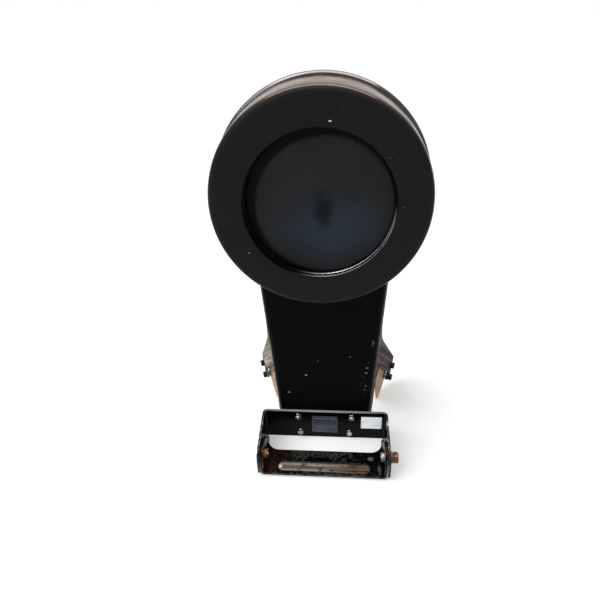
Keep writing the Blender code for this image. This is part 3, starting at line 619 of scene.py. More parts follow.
@dataclass(frozen=True)
class PressedBead:
    """Paint worn to tan and grey streaks on a pressed bead, its lip bright with wear and painted highlight.
    """

    name: str
    streaks: Colour = (5, 420, 420)
    sheet: float = 0.003
    left_end: float = -0.0655
    from_front: float = 0.0145

    def make(self) -> bpy.types.Material:
        """Build the material."""
        g = Graph(self.name, 0.3, 0.0, 0.4)
        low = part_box("pedal_plate")[0]
        deck = low.z + self.sheet
        streak = g.noise(1.0, 3, 0.6, g.stretched(self.streaks))
        patchy = g.noise(70, 5, 0.65)
        far_right = g.band(g.axis("X"), -0.02, 0.06)
        grey = g.blend(g.band(streak, 0.40, 0.60), (0.045, 0.039, 0.031), (0.40, 0.35, 0.29))
        brown = g.blend(g.band(streak, 0.40, 0.60), (0.030, 0.018, 0.012), (0.23, 0.135, 0.09))
        colour = g.blend(far_right, grey, brown)
        colour = g.blend(g.both(g.band(patchy, 0.52, 0.64), 0.8), colour, (0.012, 0.010, 0.009))
        # Crest: the top of the lip, bright both as worn metal and as painted highlight.
        crest = g.both(g.band(g.axis("Z"), deck + 0.0003, deck + 0.0006), g.band(patchy, 0.32, 0.46))
        colour = g.blend(crest, colour, (0.90, 0.85, 0.77))
        # Painted highlight: a near-white glint on the bead's rounded left end.
        left_end = g.spot(Vector((self.left_end, low.y + self.from_front, deck)), 0.0035, 0.3)
        colour = g.blend(left_end, colour, (0.95, 0.95, 0.93))
        rough = g.band(patchy, 0.3, 0.7, 0.22, 0.45)
        return g.finish(colour, rough, g.both(crest, 0.15), g.bump(streak, 0.3, 0.0001))


@dataclass(frozen=True)
class StudioFloor:
    """Plain pale floor with the faintest unevenness."""

    name: str = "studio_floor"
    glow: float = 0.15

    def make(self) -> bpy.types.Material:
        """Build the material."""
        g = Graph(self.name, 0.75, 0.0, 0.2)
        colour = g.blend(g.noise(3, 3), (0.88, 0.88, 0.88), (0.91, 0.91, 0.91))
        g.shader.inputs["Emission Color"].default_value = (1.0, 1.0, 1.0, 1.0)
        g.shader.inputs["Emission Strength"].default_value = self.glow
        return g.finish(colour)


# ---------------------------------------------------------------- mesh helpers
def link_mesh(name: str, mesh: bmesh.types.BMesh, smooth_angle: float = 35.0) -> bpy.types.Object:
    """Turn a bmesh into a linked object shaded smooth below an angle.

    Args:
        name: Name of the piece.
        mesh: The finished bmesh, which is freed.
        smooth_angle: Edges sharper than this stay sharp, in degrees.

    Returns:
        The object, at the origin.
    """
    data = bpy.data.meshes.new(name)
    mesh.to_mesh(data)
    mesh.free()
    piece = bpy.data.objects.new(name, data)
    bpy.context.scene.collection.objects.link(piece)
    data.shade_smooth()
    data.set_sharp_from_angle(angle=math.radians(smooth_angle))
    return piece


def round_edges(piece: bpy.types.Object, width: float, segments: int = 2, angle: float = 30.0) -> None:
    """Add a bevel to a piece's sharper edges.

    Args:
        piece: The piece.
        width: Width of the bevel.
        segments: Faces across it.
        angle: Edges sharper than this are taken, in degrees.
    """
    step = piece.modifiers.new("round_edges", "BEVEL")
    step.width = width
    step.segments = segments
    step.limit_method = "ANGLE"
    step.angle_limit = math.radians(angle)
    step.harden_normals = True


def bevel(mesh: bmesh.types.BMesh, geometry: list, width: float, segments: int,
          affect: str = "EDGES") -> None:
    """Round edges or corners of a bmesh.

    Args:
        mesh: The bmesh.
        geometry: Its edges or vertices to round.
        width: Width of the rounding.
        segments: Faces across it.
        affect: EDGES or VERTICES.
    """
    bmesh.ops.bevel(mesh, geom=geometry, offset=width, segments=segments, profile=0.5, affect=affect,
                    material=-1)


def axis_frame(point: Vector, direction: Vector) -> Matrix:
    """Frame at a point whose +Z is a direction.

    Args:
        point: Origin of the frame.
        direction: Direction of its +Z.

    Returns:
        The frame.
    """
    z_axis = direction.normalized()
    helper = Vector((0, 1, 0)) if abs(z_axis.z) > 0.9 else UP
    x_axis = helper.cross(z_axis).normalized()
    turn = Matrix((x_axis, z_axis.cross(x_axis), z_axis)).transposed().to_4x4()
    return Matrix.Translation(point) @ turn


def turned(name: str, profile: list, place: Matrix, closed: bool = True,
           steps: int = 144) -> bpy.types.Object:
    """Body turned about its frame's Z axis.

    Args:
        name: Name of the piece.
        profile: Corners as (radius, along, rounding).
        place: Frame that puts the body in its place.
        closed: Whether the profile's ends are joined; an open one ends on the axis.
        steps: Facets round the axis.

    Returns:
        The piece.
    """
    mesh = bmesh.new()
    corners = [mesh.verts.new((radius, 0, along)) for radius, along, _ in profile]
    for first, second in zip(corners, corners[1:]):
        mesh.edges.new((first, second))
    if closed:
        mesh.edges.new((corners[-1], corners[0]))
    bmesh.ops.spin(mesh, geom=mesh.verts[:] + mesh.edges[:], cent=(0, 0, 0), axis=(0, 0, 1),
                   angle=math.tau, steps=steps, use_merge=True)
    bmesh.ops.remove_doubles(mesh, verts=mesh.verts, dist=MERGE)
    bmesh.ops.recalc_face_normals(mesh, faces=mesh.faces)
    for radius, along, rounding in profile:
        if rounding <= 0:
            continue
        ring = [edge for edge in mesh.edges if all(_on_ring(vert, radius, along) for vert in edge.verts)]
        bevel(mesh, ring, rounding, 5)
    bmesh.ops.transform(mesh, matrix=place, verts=mesh.verts)
    return link_mesh(name, mesh)


def _on_ring(vert: bmesh.types.BMVert, radius: float, along: float) -> bool:
    """Whether a vertex lies on a profile corner's circle."""
    return abs(vert.co.z - along) < MERGE and abs(math.hypot(vert.co.x, vert.co.y) - radius) < 2 * MERGE


def span_on_axis(node: str, direction: Vector) -> tuple[Vector, float, float]:
    """Where a round CAD node lies along its own axis.

    Args:
        node: CAD node.
        direction: Direction of the node's axis.

    Returns:
        The node's start on its axis, its length and its greatest radius.
    """
    line = direction.normalized()
    corners = [vert.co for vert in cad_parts[node].data.vertices]
    middle = sum(corners, Vector()) / len(corners)
    reach = [(corner - middle).dot(line) for corner in corners]
    radius = max((corner - middle - line * far).length for corner, far in zip(corners, reach))
    return middle + line * min(reach), max(reach) - min(reach), radius


def refined(node: str, name: str, width: float, segments: int = 2) -> bpy.types.Object:
    """Clean copy of a CAD sheet-metal node with rounded edges.

    Args:
        node: CAD node to copy.
        name: Name of the new piece.
        width: Width of the edge rounding.
        segments: Faces across it.

    Returns:
        The piece.
    """
    mesh = bmesh.new()
    mesh.from_mesh(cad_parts[node].data)
    bmesh.ops.remove_doubles(mesh, verts=mesh.verts, dist=MERGE)
    bmesh.ops.dissolve_limit(mesh, angle_limit=math.radians(0.4), verts=mesh.verts, edges=mesh.edges,
                             use_dissolve_boundaries=False)
    piece = link_mesh(name, mesh)
    round_edges(piece, width, segments)
    return piece


def soft_plate(name: str, low: Vector, high: Vector, corner: float, width: float) -> bpy.types.Object:
    """Thin plate in the XZ plane with rounded corners.

    Args:
        name: Name of the piece.
        low: Lowest corner.
        high: Highest corner.
        corner: Radius of the four corners.
        width: Rounding of the front edge.

    Returns:
        The piece.
    """
    mesh = bmesh.new()
    ring = [mesh.verts.new((x, high.y, z)) for x, z in
            ((low.x, low.z), (high.x, low.z), (high.x, high.z), (low.x, high.z))]
    mesh.faces.new(ring)
    bevel(mesh, mesh.verts[:], corner, 6, "VERTICES")
    grown = bmesh.ops.extrude_face_region(mesh, geom=mesh.faces[:])
    front = [item for item in grown["geom"] if isinstance(item, bmesh.types.BMVert)]
    bmesh.ops.translate(mesh, verts=front, vec=(0, low.y - high.y, 0))
    bmesh.ops.recalc_face_normals(mesh, faces=mesh.faces)
    piece = link_mesh(name, mesh)
    round_edges(piece, width)
    return piece


def soft_box(name: str, low: Vector, high: Vector, width: float, segments: int = 3) -> bpy.types.Object:
    """Box with rounded edges.

    Args:
        name: Name of the piece.
        low: Lowest corner.
        high: Highest corner.
        width: Rounding of the edges.
        segments: Faces across the rounding.

    Returns:
        The piece.
    """
    mesh = bmesh.new()
    bmesh.ops.create_cube(mesh, size=1.0)
    bmesh.ops.scale(mesh, verts=mesh.verts, vec=high - low)
    bmesh.ops.translate(mesh, verts=mesh.verts, vec=(low + high) / 2)
    bevel(mesh, mesh.edges[:], width, segments)
    return link_mesh(name, mesh)


def joined(name: str, *pieces: bpy.types.Object) -> bpy.types.Object:
    """Join several meshes into one piece.

    Args:
        name: Name of the piece.
        pieces: The meshes, which are removed.

    Returns:
        The piece.
    """
    mesh = bmesh.new()
    for piece in pieces:
        mesh.from_mesh(piece.data)
        bpy.data.objects.remove(piece, do_unlink=True)
    return link_mesh(name, mesh)


# ---------------------------------------------------------------- sub-assemblies
@dataclass
class SubAssembly:
    """Pieces that belong together."""

    pieces: dict = field(default_factory=dict)

    def publish(self, piece: bpy.types.Object, body: str, slot: str, *nodes: str) -> bpy.types.Object:
        """Register a finished piece.

        Args:
            piece: The piece, in its place.
            body: CAD body it moves with.
            slot: Material slot of the record; not used.
            nodes: CAD nodes it stands for.

        Returns:
            The same piece.
        """
        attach(piece, body)
        if nodes:
            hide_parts(*nodes)
        self.pieces[piece.name] = piece
        return piece

    def paint(self, finish: Finish, *names: str) -> None:
        """Give one finish to pieces of this sub-assembly or to CAD nodes.

        Args:
            finish: The finish, whose material they share.
            names: Pieces or nodes.
        """
        material = finish.make()
        for name in names:
            piece = self.pieces.get(name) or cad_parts[name]
            piece.data.materials.clear()
            piece.data.materials.append(material)

    def report(self) -> None:
        """Log the pieces."""
        for name, piece in sorted(self.pieces.items()):
            LOG.info("%s: %s, %d faces", type(self).__name__, name, len(piece.data.polygons))


@dataclass
class DrumPad(SubAssembly):
    """Round pad: rear case, damping ring, rubber rim, glossy lip and strike head."""

    rim_round: float = 0.008
    rim_flare: float = 0.0035
    back_step: float = 0.0013
    skirt_wall: float = 0.0115
    face_depth: float = 0.022
    lip_wall: float = 0.0014
    lip_ridge: float = 0.0007
    lip_round: float = 0.0012
    flange_round: float = 0.0048
    flange_front: float = 0.014
    case_wall: float = 0.004
    case_floor: float = 0.005
    clearance: float = 0.0006

    def __post_init__(self) -> None:
        """Read the pad's places from the frame."""
        self.face_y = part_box("tower")[0].y
        low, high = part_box("rim_ring")
        self.centre = Vector((0, self.face_y, (low.z + high.z) / 2))
        self.place = axis_frame(self.centre, FRONT)
        self.rim_back_radius = (high.x - low.x) / 2
        self.rim_radius = self.rim_back_radius - self.rim_flare
        self.front = self.face_y - low.y
        self.rim_back = self.face_y - high.y
        low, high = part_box("strike_head")
        self.head_radius = (high.x - low.x) / 2
        self.head_front = self.face_y - low.y
        self.head_back = self.face_y - high.y
        self.bore = self.head_radius + self.clearance

    def build(self) -> None:
        """Build the pad's visible pieces."""
        self._rim()
        self._lip()
        self._head()
        self._case()
        self._damping()
        self._foam()

    def _rim(self) -> None:
        """Rubber rim with a tapered side, a rounded front edge and a stepped bore."""
        outer, skirt = self.rim_radius, self.rim_radius - self.skirt_wall
        seat, step = self.bore + self.lip_wall, self.front - self.face_depth
        profile = [(self.rim_back_radius - self.back_step, self.rim_back, self.lip_round),
                   (skirt, self.rim_back, 0), (skirt, step, 0), (self.bore, step, 0),
                   (self.bore, self.head_front, 0), (seat, self.head_front, 0),
                   (seat, self.front, self.lip_round), (outer, self.front, self.rim_round)]
        self.publish(turned("rim_rubber", profile, self.place, steps=168), "tower", "rim_rubber", "rim_ring")

    def _lip(self) -> None:
        """Glossy lining of the recess, with two rounded ridges."""
        wall, crest, valley = self.bore + self.lip_wall - 0.0001, self.bore + 0.0001, self.bore + 0.0009
        start, end = self.head_front + 0.0003, self.front - 0.0006
        middle = (start + end) / 2
        low, high = middle - 0.0032, middle + 0.0028
        half, edge = 0.0008, 0.0002
        profile = [(wall, start, 0), (valley, start, edge),
                   (crest, low - half, self.lip_ridge), (crest, low + half, self.lip_ridge),
                   (valley, low + 2 * half, 0), (valley, high - 2 * half, 0),
                   (crest, high - half, self.lip_ridge), (crest, high + half, self.lip_ridge),
                   (valley, end, edge), (wall, end, 0)]
        self.publish(turned("recess_lip", profile, self.place, steps=168), "tower", "rim_rubber")

    def _head(self) -> None:
        """Strike head, very slightly dished where the beater lands."""
        front, back, radius = self.head_front, self.head_back, self.head_radius
        profile = [(0, front - 0.0005, 0), (0.012, front - 0.00045, 0), (0.030, front - 0.0002, 0),
                   (0.050, front, 0), (radius, front, 0.0010), (radius, back, 0.0004), (0, back, 0)]
        self.publish(turned("head_skin", profile, self.place, closed=False, steps=144), "strike_head",
                     "head_rubber", "strike_head")

    def _case(self) -> None:
        """Rear case: a rounded flange, a flat back and the tube that the rim sits on."""
        low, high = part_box("rear_case")
        flange, back, front = (high.x - low.x) / 2, self.face_y - high.y, self.face_y - low.y
        tube_outer = self.rim_radius - self.skirt_wall - self.clearance
        tube_inner = tube_outer - self.case_wall
        profile = [(0, back, 0), (flange, back, self.flange_round),
                   (flange, self.flange_front, self.flange_round), (tube_outer, self.flange_front, 0),
                   (tube_outer, front, 0.0005), (tube_inner, front, 0),
                   (tube_inner, self.case_floor, 0), (0, self.case_floor, 0)]
        shell = turned("case_shell", profile, self.place, closed=False, steps=168)
        self.publish(shell, "tower", "case_plastic", "rear_case")

    def _damping(self) -> None:
        """Soft ring in the groove between the case and the rim, with rounded edges."""
        low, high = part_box("damping_ring")
        outer, back, front = (high.x - low.x) / 2, self.face_y - high.y, self.face_y - low.y
        inner = self.rim_radius - self.skirt_wall
        profile = [(inner, back, 0), (outer, back, 0.0007), (outer, front, 0.0007), (inner, front, 0)]
        ring = turned("groove_ring", profile, self.place, steps=144)
        self.publish(ring, "tower", "rim_rubber", "damping_ring")

    def _second_finish(self, name: str, finish: Finish, least: float, most: float) -> None:
        """Give the faces whose middle lies between two radii from the pad's axis another finish.

        Args:
            name: Piece to dress.
            finish: The other finish.
            least: Smallest radius.
            most: Greatest radius.
        """
        piece = self.pieces[name]
        piece.data.materials.append(finish.make())
        for face in piece.data.polygons:
            away = math.hypot(face.center.x, face.center.z - self.centre.z)
            if least < away < most:
                face.material_index = 1

    def _foam(self) -> None:
        """Foam cushion under the head and foam cone behind the sensor, slightly crowned."""
        for node, crown, steps in (("foam_cushion", 0.0004, 96), ("piezo_cone", 0.0002, 48)):
            start, length, radius = span_on_axis(node, FRONT)
            waist = radius - 3 * crown
            profile = [(0, 0, 0), (0.7 * radius, 0, 0), (waist, 2 * crown, 0.0008),
                       (radius - crown, 0.5 * length, 0), (waist, length - 2 * crown, 0.0008),
                       (0.7 * radius, length - crown, 0), (0, length, 0)]
            if node == "piezo_cone":
                profile[4:6] = [(0.62 * radius, length - 2 * crown, 0.0006),
                                (0.4 * radius, length - crown, 0)]
            foam = turned(f"{node}_piece", profile, axis_frame(start, FRONT), closed=False, steps=steps)
            self.publish(foam, "tower", "foam", node)

    def dress(self) -> None:
        """Give the pad its finishes."""
        head_y = self.face_y - self.head_front
        front_y = self.face_y - self.front
        motes = ((Vector((0.0116, front_y, 0.4947)), 0.0008, 0.75),
                 (Vector((-0.0768, front_y, 0.3611)), 0.0007, 0.22),
                 (Vector((0.0240, front_y, 0.5065)), 0.0008, 0.03))
        self.paint(Rubber("rim_face_rubber", motes=motes), "rim_rubber")
        self._second_finish("rim_rubber", GlossBand("rim_wall_gloss", specular=0.4, tint=(1.0, 0.86, 0.77)),
                            self.rim_radius - 0.0022, 1.0)
        beaten = Vector((0.0037, head_y, self.centre.z - 0.0065))
        # Centre of the cool painted reflection, and middle of the lit head; past the border round it the head
        # gets painted shadow.
        reflection_spot = Vector((0.012, head_y, self.centre.z - 0.027))
        middle = Vector((0.0055, head_y, self.centre.z - 0.003))
        skin = Rubber("strike_head_rubber", base=(0.0140, 0.0155, 0.0170), light=(0.0200, 0.0215, 0.0235),
                      roughness=0.46, specular=0.04, grain=1400.0, grain_depth=0.00006, dust=0.25,
                      wear=((beaten, 0.0120, (1.4, 1, 0.75)),),
                      sheen=((reflection_spot, 0.028, (0.8, 1, 1.2), (0.022, 0.033, 0.052)),),
                      border=((middle, 0.0725),))
        self.paint(skin, "head_skin")
        # Centre of the painted highlight on the lower right of the recess lining.
        highlight_centre = Vector((0.046, head_y, self.centre.z - 0.063))
        lining = GlossBand("recess_lip_gloss", base=(0.0015, 0.0015, 0.0015), warm=(0.002, 0.002, 0.002),
                           roughness=0.2, specular=0.08, polished=((highlight_centre, 0.050, (0.85, 0.88, 0.92)),),
                           crest=((self.centre, self.bore),))
        self.paint(lining, "recess_lip")
        flange = GlossBand("case_gloss", base=(0.010, 0.009, 0.008), warm=(0.018, 0.015, 0.013),
                           roughness=0.18, specular=0.9, coat=0.3)
        self.paint(flange, "case_shell")
        back = Plastic("case_back_grain", base=(0.006, 0.006, 0.006), light=(0.010, 0.010, 0.010),
                       roughness=0.6, grain=500.0, depth=0.0003, specular=0.06)
        self._second_finish("case_shell", back, 0.0, self.rim_radius - 0.002)
        self.paint(Rubber("groove_rubber", roughness=0.75, specular=0.1), "groove_ring")
        foam = Plastic("foam_grey", base=(0.08, 0.08, 0.085), light=(0.13, 0.13, 0.135), roughness=0.9,
                       grain=420.0, depth=0.0008, specular=0.1)
        self.paint(foam, "foam_cushion_piece", "piezo_cone_piece")
        self.paint(Metal("sensor_plate_zinc", stained=0.2), "sensor_plate")
        brass = Metal("piezo_brass", base=(0.72, 0.50, 0.24), stain=(0.25, 0.14, 0.06), roughness=0.25)
        self.paint(brass, "piezo_sensor")
        self.paint(Plastic("lead_sheath", roughness=0.4), "sensor_lead")


@dataclass
class Tower(SubAssembly):
    """Folded steel tower with its arms and feet."""

    edge: float = 0.0005

    def build(self) -> None:
        """Build the tower and its feet."""
        self.publish(refined("tower", "tower_sheet", self.edge), "tower", "black_steel", "tower")
        for side in Side:
            node = f"tower_foot_{side.word}"
            low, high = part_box(node)
            foot = soft_box(f"foot_pad_{side.word}", low, high, 0.0010)
            self.publish(foot, "tower", "foot_rubber", node)

    def dress(self) -> None:
        """Give the tower its worn paint."""
        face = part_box("tower")[0].y
        chips = ((-0.0086, 0.154, 0.0010, 0.20), (-0.0268, 0.1269, 0.0014, 0.55),
                 (-0.0539, 0.0922, 0.0016, 0.42),
                 (0.0372, 0.1624, 0.0013, 0.16), (0.0620, 0.1427, 0.0014, 0.34),
                 (0.0609, 0.1332, 0.0013, 0.36), (0.0569, 0.1250, 0.0010, 0.10),
                 (0.0615, 0.1079, 0.0013, 0.22), (0.0600, 0.1010, 0.0011, 0.16),
                 (0.0550, 0.1125, 0.0010, 0.06), (0.0640, 0.1520, 0.0010, 0.08))
        scuffs = tuple((Vector((x, face, z)), size, tone) for x, z, size, tone in chips)
        smudges = tuple((Vector((x, face, z)), size) for x, z, size in
                        ((-0.040, 0.107, 0.010), (0.057, 0.112, 0.014)))
        rub = ((Vector((0.0690, face, 0.188)), 0.0050, (3.6, 1, 1), 0.07),)
        # Worn streaks on the arms, painted lit on the left and in shade on the right.
        worn = PaintedSteel("tower_paint", paint=(0.0009, 0.0009, 0.0010), specular=0.03, scuffs=scuffs,
                            smudges=smudges, lines=rub, scratches=0.25, arm_wear=True, edge_wear=0.45,
                            edge_metal=(0.10, 0.075, 0.065))
        self.paint(worn, "tower_sheet")
        self.paint(Rubber("foot_rubber", roughness=0.8), "foot_pad_left", "foot_pad_right")


@dataclass
class Fasteners(SubAssembly):
    """Hex bolts and nuts, washers and spacers, each on its CAD node's own axis."""

    chamfer: float = 0.16
    corner: float = 0.05
    facets: int = 32
    thread_pitch: float = 0.0008
    cap_body: float = 0.012
    head_heights: dict = field(default_factory=lambda: {
        "web": 0.0035, "pad": 0.0035, "spur": 0.006, "pivot": 0.005})

    def build(self) -> None:
        """Build every fastener."""
        back = Vector((0, 1, 0))
        for index in range(1, 5):
            for kind in ("web", "pad"):
                self._bolt(f"{kind}_bolt_{index}", back, self.head_heights[kind], "zinc_steel")
                self._nut(f"{kind}_nut_{index}", FRONT, "zinc_steel")
        for side in Side:
            for level in ("lower", "upper"):
                tail = f"{side.word}_{level}"
                self._bolt(f"spur_bolt_{tail}", side.outward, self.head_heights["spur"], "black_steel")
                self._nut(f"spur_nut_{tail}", -side.outward, "zinc_steel")
                self._collar(f"spur_spacer_{tail}", side.outward, 0.003, 0.0005, "zinc_steel")
            out = Vector((side.value, 0, 0))
            self._nut(f"pivot_nut_{side.word}", -out, "zinc_steel")
            self._collar(f"pivot_washer_{side.word}", out, 0.0042, 0.0002, "nylon")
        self._bolt("pivot_bolt_left", Vector((-1, 0, 0)), self.head_heights["pivot"], "zinc_steel")
        self._cap()

    def _hexagon(self, across: float, height: float, place: Matrix, flange: float) -> bpy.types.Object:
        """Hex prism with a turned flange under it and a chamfered top.

        Args:
            across: Radius at its corners.
            height: Height along the frame's +Z.
            place: Frame of its seat.
            flange: Height of the round flange at the seat.

        Returns:
            The hexagon.
        """
        mesh = bmesh.new()
        bmesh.ops.create_cone(mesh, cap_ends=True, segments=6, radius1=across, radius2=across,
                              depth=height - flange)
        bmesh.ops.translate(mesh, verts=mesh.verts, vec=(0, 0, (height - flange) / 2 + flange))
        top = [edge for edge in mesh.edges if min(vert.co.z for vert in edge.verts) > height - MERGE]
        bevel(mesh, top, self.chamfer * across, 2)
        upright = [edge for edge in mesh.edges if abs(edge.verts[0].co.z - edge.verts[1].co.z) > 0.4 * height]
        bevel(mesh, upright, self.corner * across, 2)
        base = bmesh.ops.create_cone(mesh, cap_ends=True, segments=self.facets, radius1=0.97 * across,
                                     radius2=0.93 * across, depth=flange)
        bmesh.ops.translate(mesh, verts=base["verts"], vec=(0, 0, flange / 2))
        bmesh.ops.transform(mesh, matrix=place, verts=mesh.verts)
        return link_mesh("hexagon", mesh)

    def _thread(self, radius: float, length: float, place: Matrix) -> bpy.types.Object:
        """Threaded shank from the frame's origin along its +Z, with a chamfered end.

        Args:
            radius: Outside of the thread.
            length: Length of the shank.
            place: Frame at its start.

        Returns:
            The shank.
        """
        root = 0.86 * radius
        profile = [(0, 0, 0), (root, 0, 0)]
        turns = max(2, int((length - 0.4 * radius) / self.thread_pitch))
        for turn in range(turns):
            start = turn * self.thread_pitch
            profile += [(radius, start + 0.5 * self.thread_pitch, 0), (root, start + self.thread_pitch, 0)]
        profile += [(0.7 * radius, length, 0), (0, length, 0)]
        return turned("thread", profile, place, closed=False, steps=20)

    def _bolt(self, node: str, direction: Vector, head: float, slot: str) -> None:
        """Hex bolt whose head points along the direction.

        Args:
            node: CAD node that it stands for.
            direction: Out of its head.
            head: Height of the head.
            slot: Material slot of the record.
        """
        start, length, across = span_on_axis(node, direction)
        seat = start + direction.normalized() * (length - head)
        shank = 0.60 * across if across < 0.005 else 0.52 * across
        end = self._thread(shank, length - head, axis_frame(seat, -direction))
        top = self._hexagon(across, head, axis_frame(seat, direction), 0.12 * head)
        self.publish(joined(f"{node}_piece", top, end), "tower", slot, node)

    def _nut(self, node: str, direction: Vector, slot: str) -> None:
        """Hex nut that stands on its seat.

        Args:
            node: CAD node that it stands for.
            direction: From its seat to its free end.
            slot: Material slot of the record.
        """
        start, length, across = span_on_axis(node, direction)
        nut = self._hexagon(across, length, axis_frame(start, direction), 0.1 * length)
        nut.name = f"{node}_piece"
        self.publish(nut, "tower", slot, node)

    def _collar(self, node: str, direction: Vector, bore: float, rounding: float, slot: str) -> None:
        """Round spacer or washer.

        Args:
            node: CAD node that it stands for.
            direction: Direction of its axis.
            bore: Radius of its bore.
            rounding: Rounding of its outer edges.
            slot: Material slot of the record.
        """
        start, length, outer = span_on_axis(node, direction)
        profile = [(bore, 0, 0), (outer, 0, rounding), (outer, length, rounding), (bore, length, 0)]
        ring = turned(f"{node}_piece", profile, axis_frame(start, direction), steps=self.facets)
        self.publish(ring, "tower", slot, node)

    def _cap(self) -> None:
        """Round pivot cap on the right, with a waist and a domed end."""
        node = "pivot_bolt_right"
        start, length, radius = span_on_axis(node, Vector((1, 0, 0)))
        seat = length - self.cap_body
        shank, waist, edge = 0.0034, 0.90 * radius, 0.0004
        profile = [(0, 0, 0), (shank, 0, edge), (shank, seat, 0), (0.86 * radius, seat, 0),
                   (radius, seat + 0.0012, edge), (radius, seat + 0.0040, edge),
                   (waist, seat + 0.0048, 0), (waist, seat + 0.0058, 0),
                   (radius, seat + 0.0066, edge), (radius, length, 0.0022), (0, length - 0.0002, 0)]
        cap = turned("pivot_cap", profile, axis_frame(start, Vector((1, 0, 0))), closed=False, steps=64)
        self.publish(cap, "tower", "brown_cap", node)

    def dress(self) -> None:
        """Give the fasteners their plating."""
        groups = {"web": [], "pad": [], "spur_bolt": [], "spur_nut": [], "spur_spacer": [], "washer": []}
        for name in self.pieces:
            for key, names in groups.items():
                if key in name and not name.startswith("pivot_nut"):
                    names.append(name)
        platings = (
            (Metal("bright_zinc", base=(0.50, 0.50, 0.49), stain=(0.05, 0.045, 0.04), roughness=0.12,
                   stained=0.55), groups["web"]),
            (Metal("dull_zinc", base=(0.48, 0.47, 0.44), stain=(0.14, 0.11, 0.08), roughness=0.3,
                   stained=0.4), groups["pad"] + groups["spur_nut"] + groups["spur_spacer"]),
            (Metal("black_oxide", base=(0.004, 0.004, 0.004), stain=(0.010, 0.008, 0.007), roughness=0.34,
                   stained=0.3, metallic=0.2, edge=(0.05, 0.045, 0.04), specular=0.15), groups["spur_bolt"]),
            (Metal("pivot_bright", base=(0.78, 0.76, 0.72), stain=(0.30, 0.26, 0.22), roughness=0.18,
                   stained=0.25), ["pivot_bolt_left_piece"]),
            (Metal("pivot_rusty", base=(0.26, 0.12, 0.06), stain=(0.07, 0.028, 0.014), roughness=0.42,
                   stained=0.5, edge=(0.5, 0.3, 0.18)), ["pivot_nut_left_piece"]),
            (Metal("pivot_grey", base=(0.24, 0.26, 0.30), stain=(0.05, 0.045, 0.04), roughness=0.25,
                   stained=0.45), ["pivot_nut_right_piece"]),
            (Metal("cap_bronze", base=(0.20, 0.115, 0.055), stain=(0.045, 0.026, 0.015), roughness=0.32,
                   stained=0.5, metallic=0.7, edge=(0.42, 0.28, 0.15)), ["pivot_cap"]),
            (Plastic("nylon_natural", base=(0.45, 0.44, 0.40), light=(0.62, 0.61, 0.57), roughness=0.45),
             groups["washer"]))
        for finish, names in platings:
            self.paint(finish, *names)


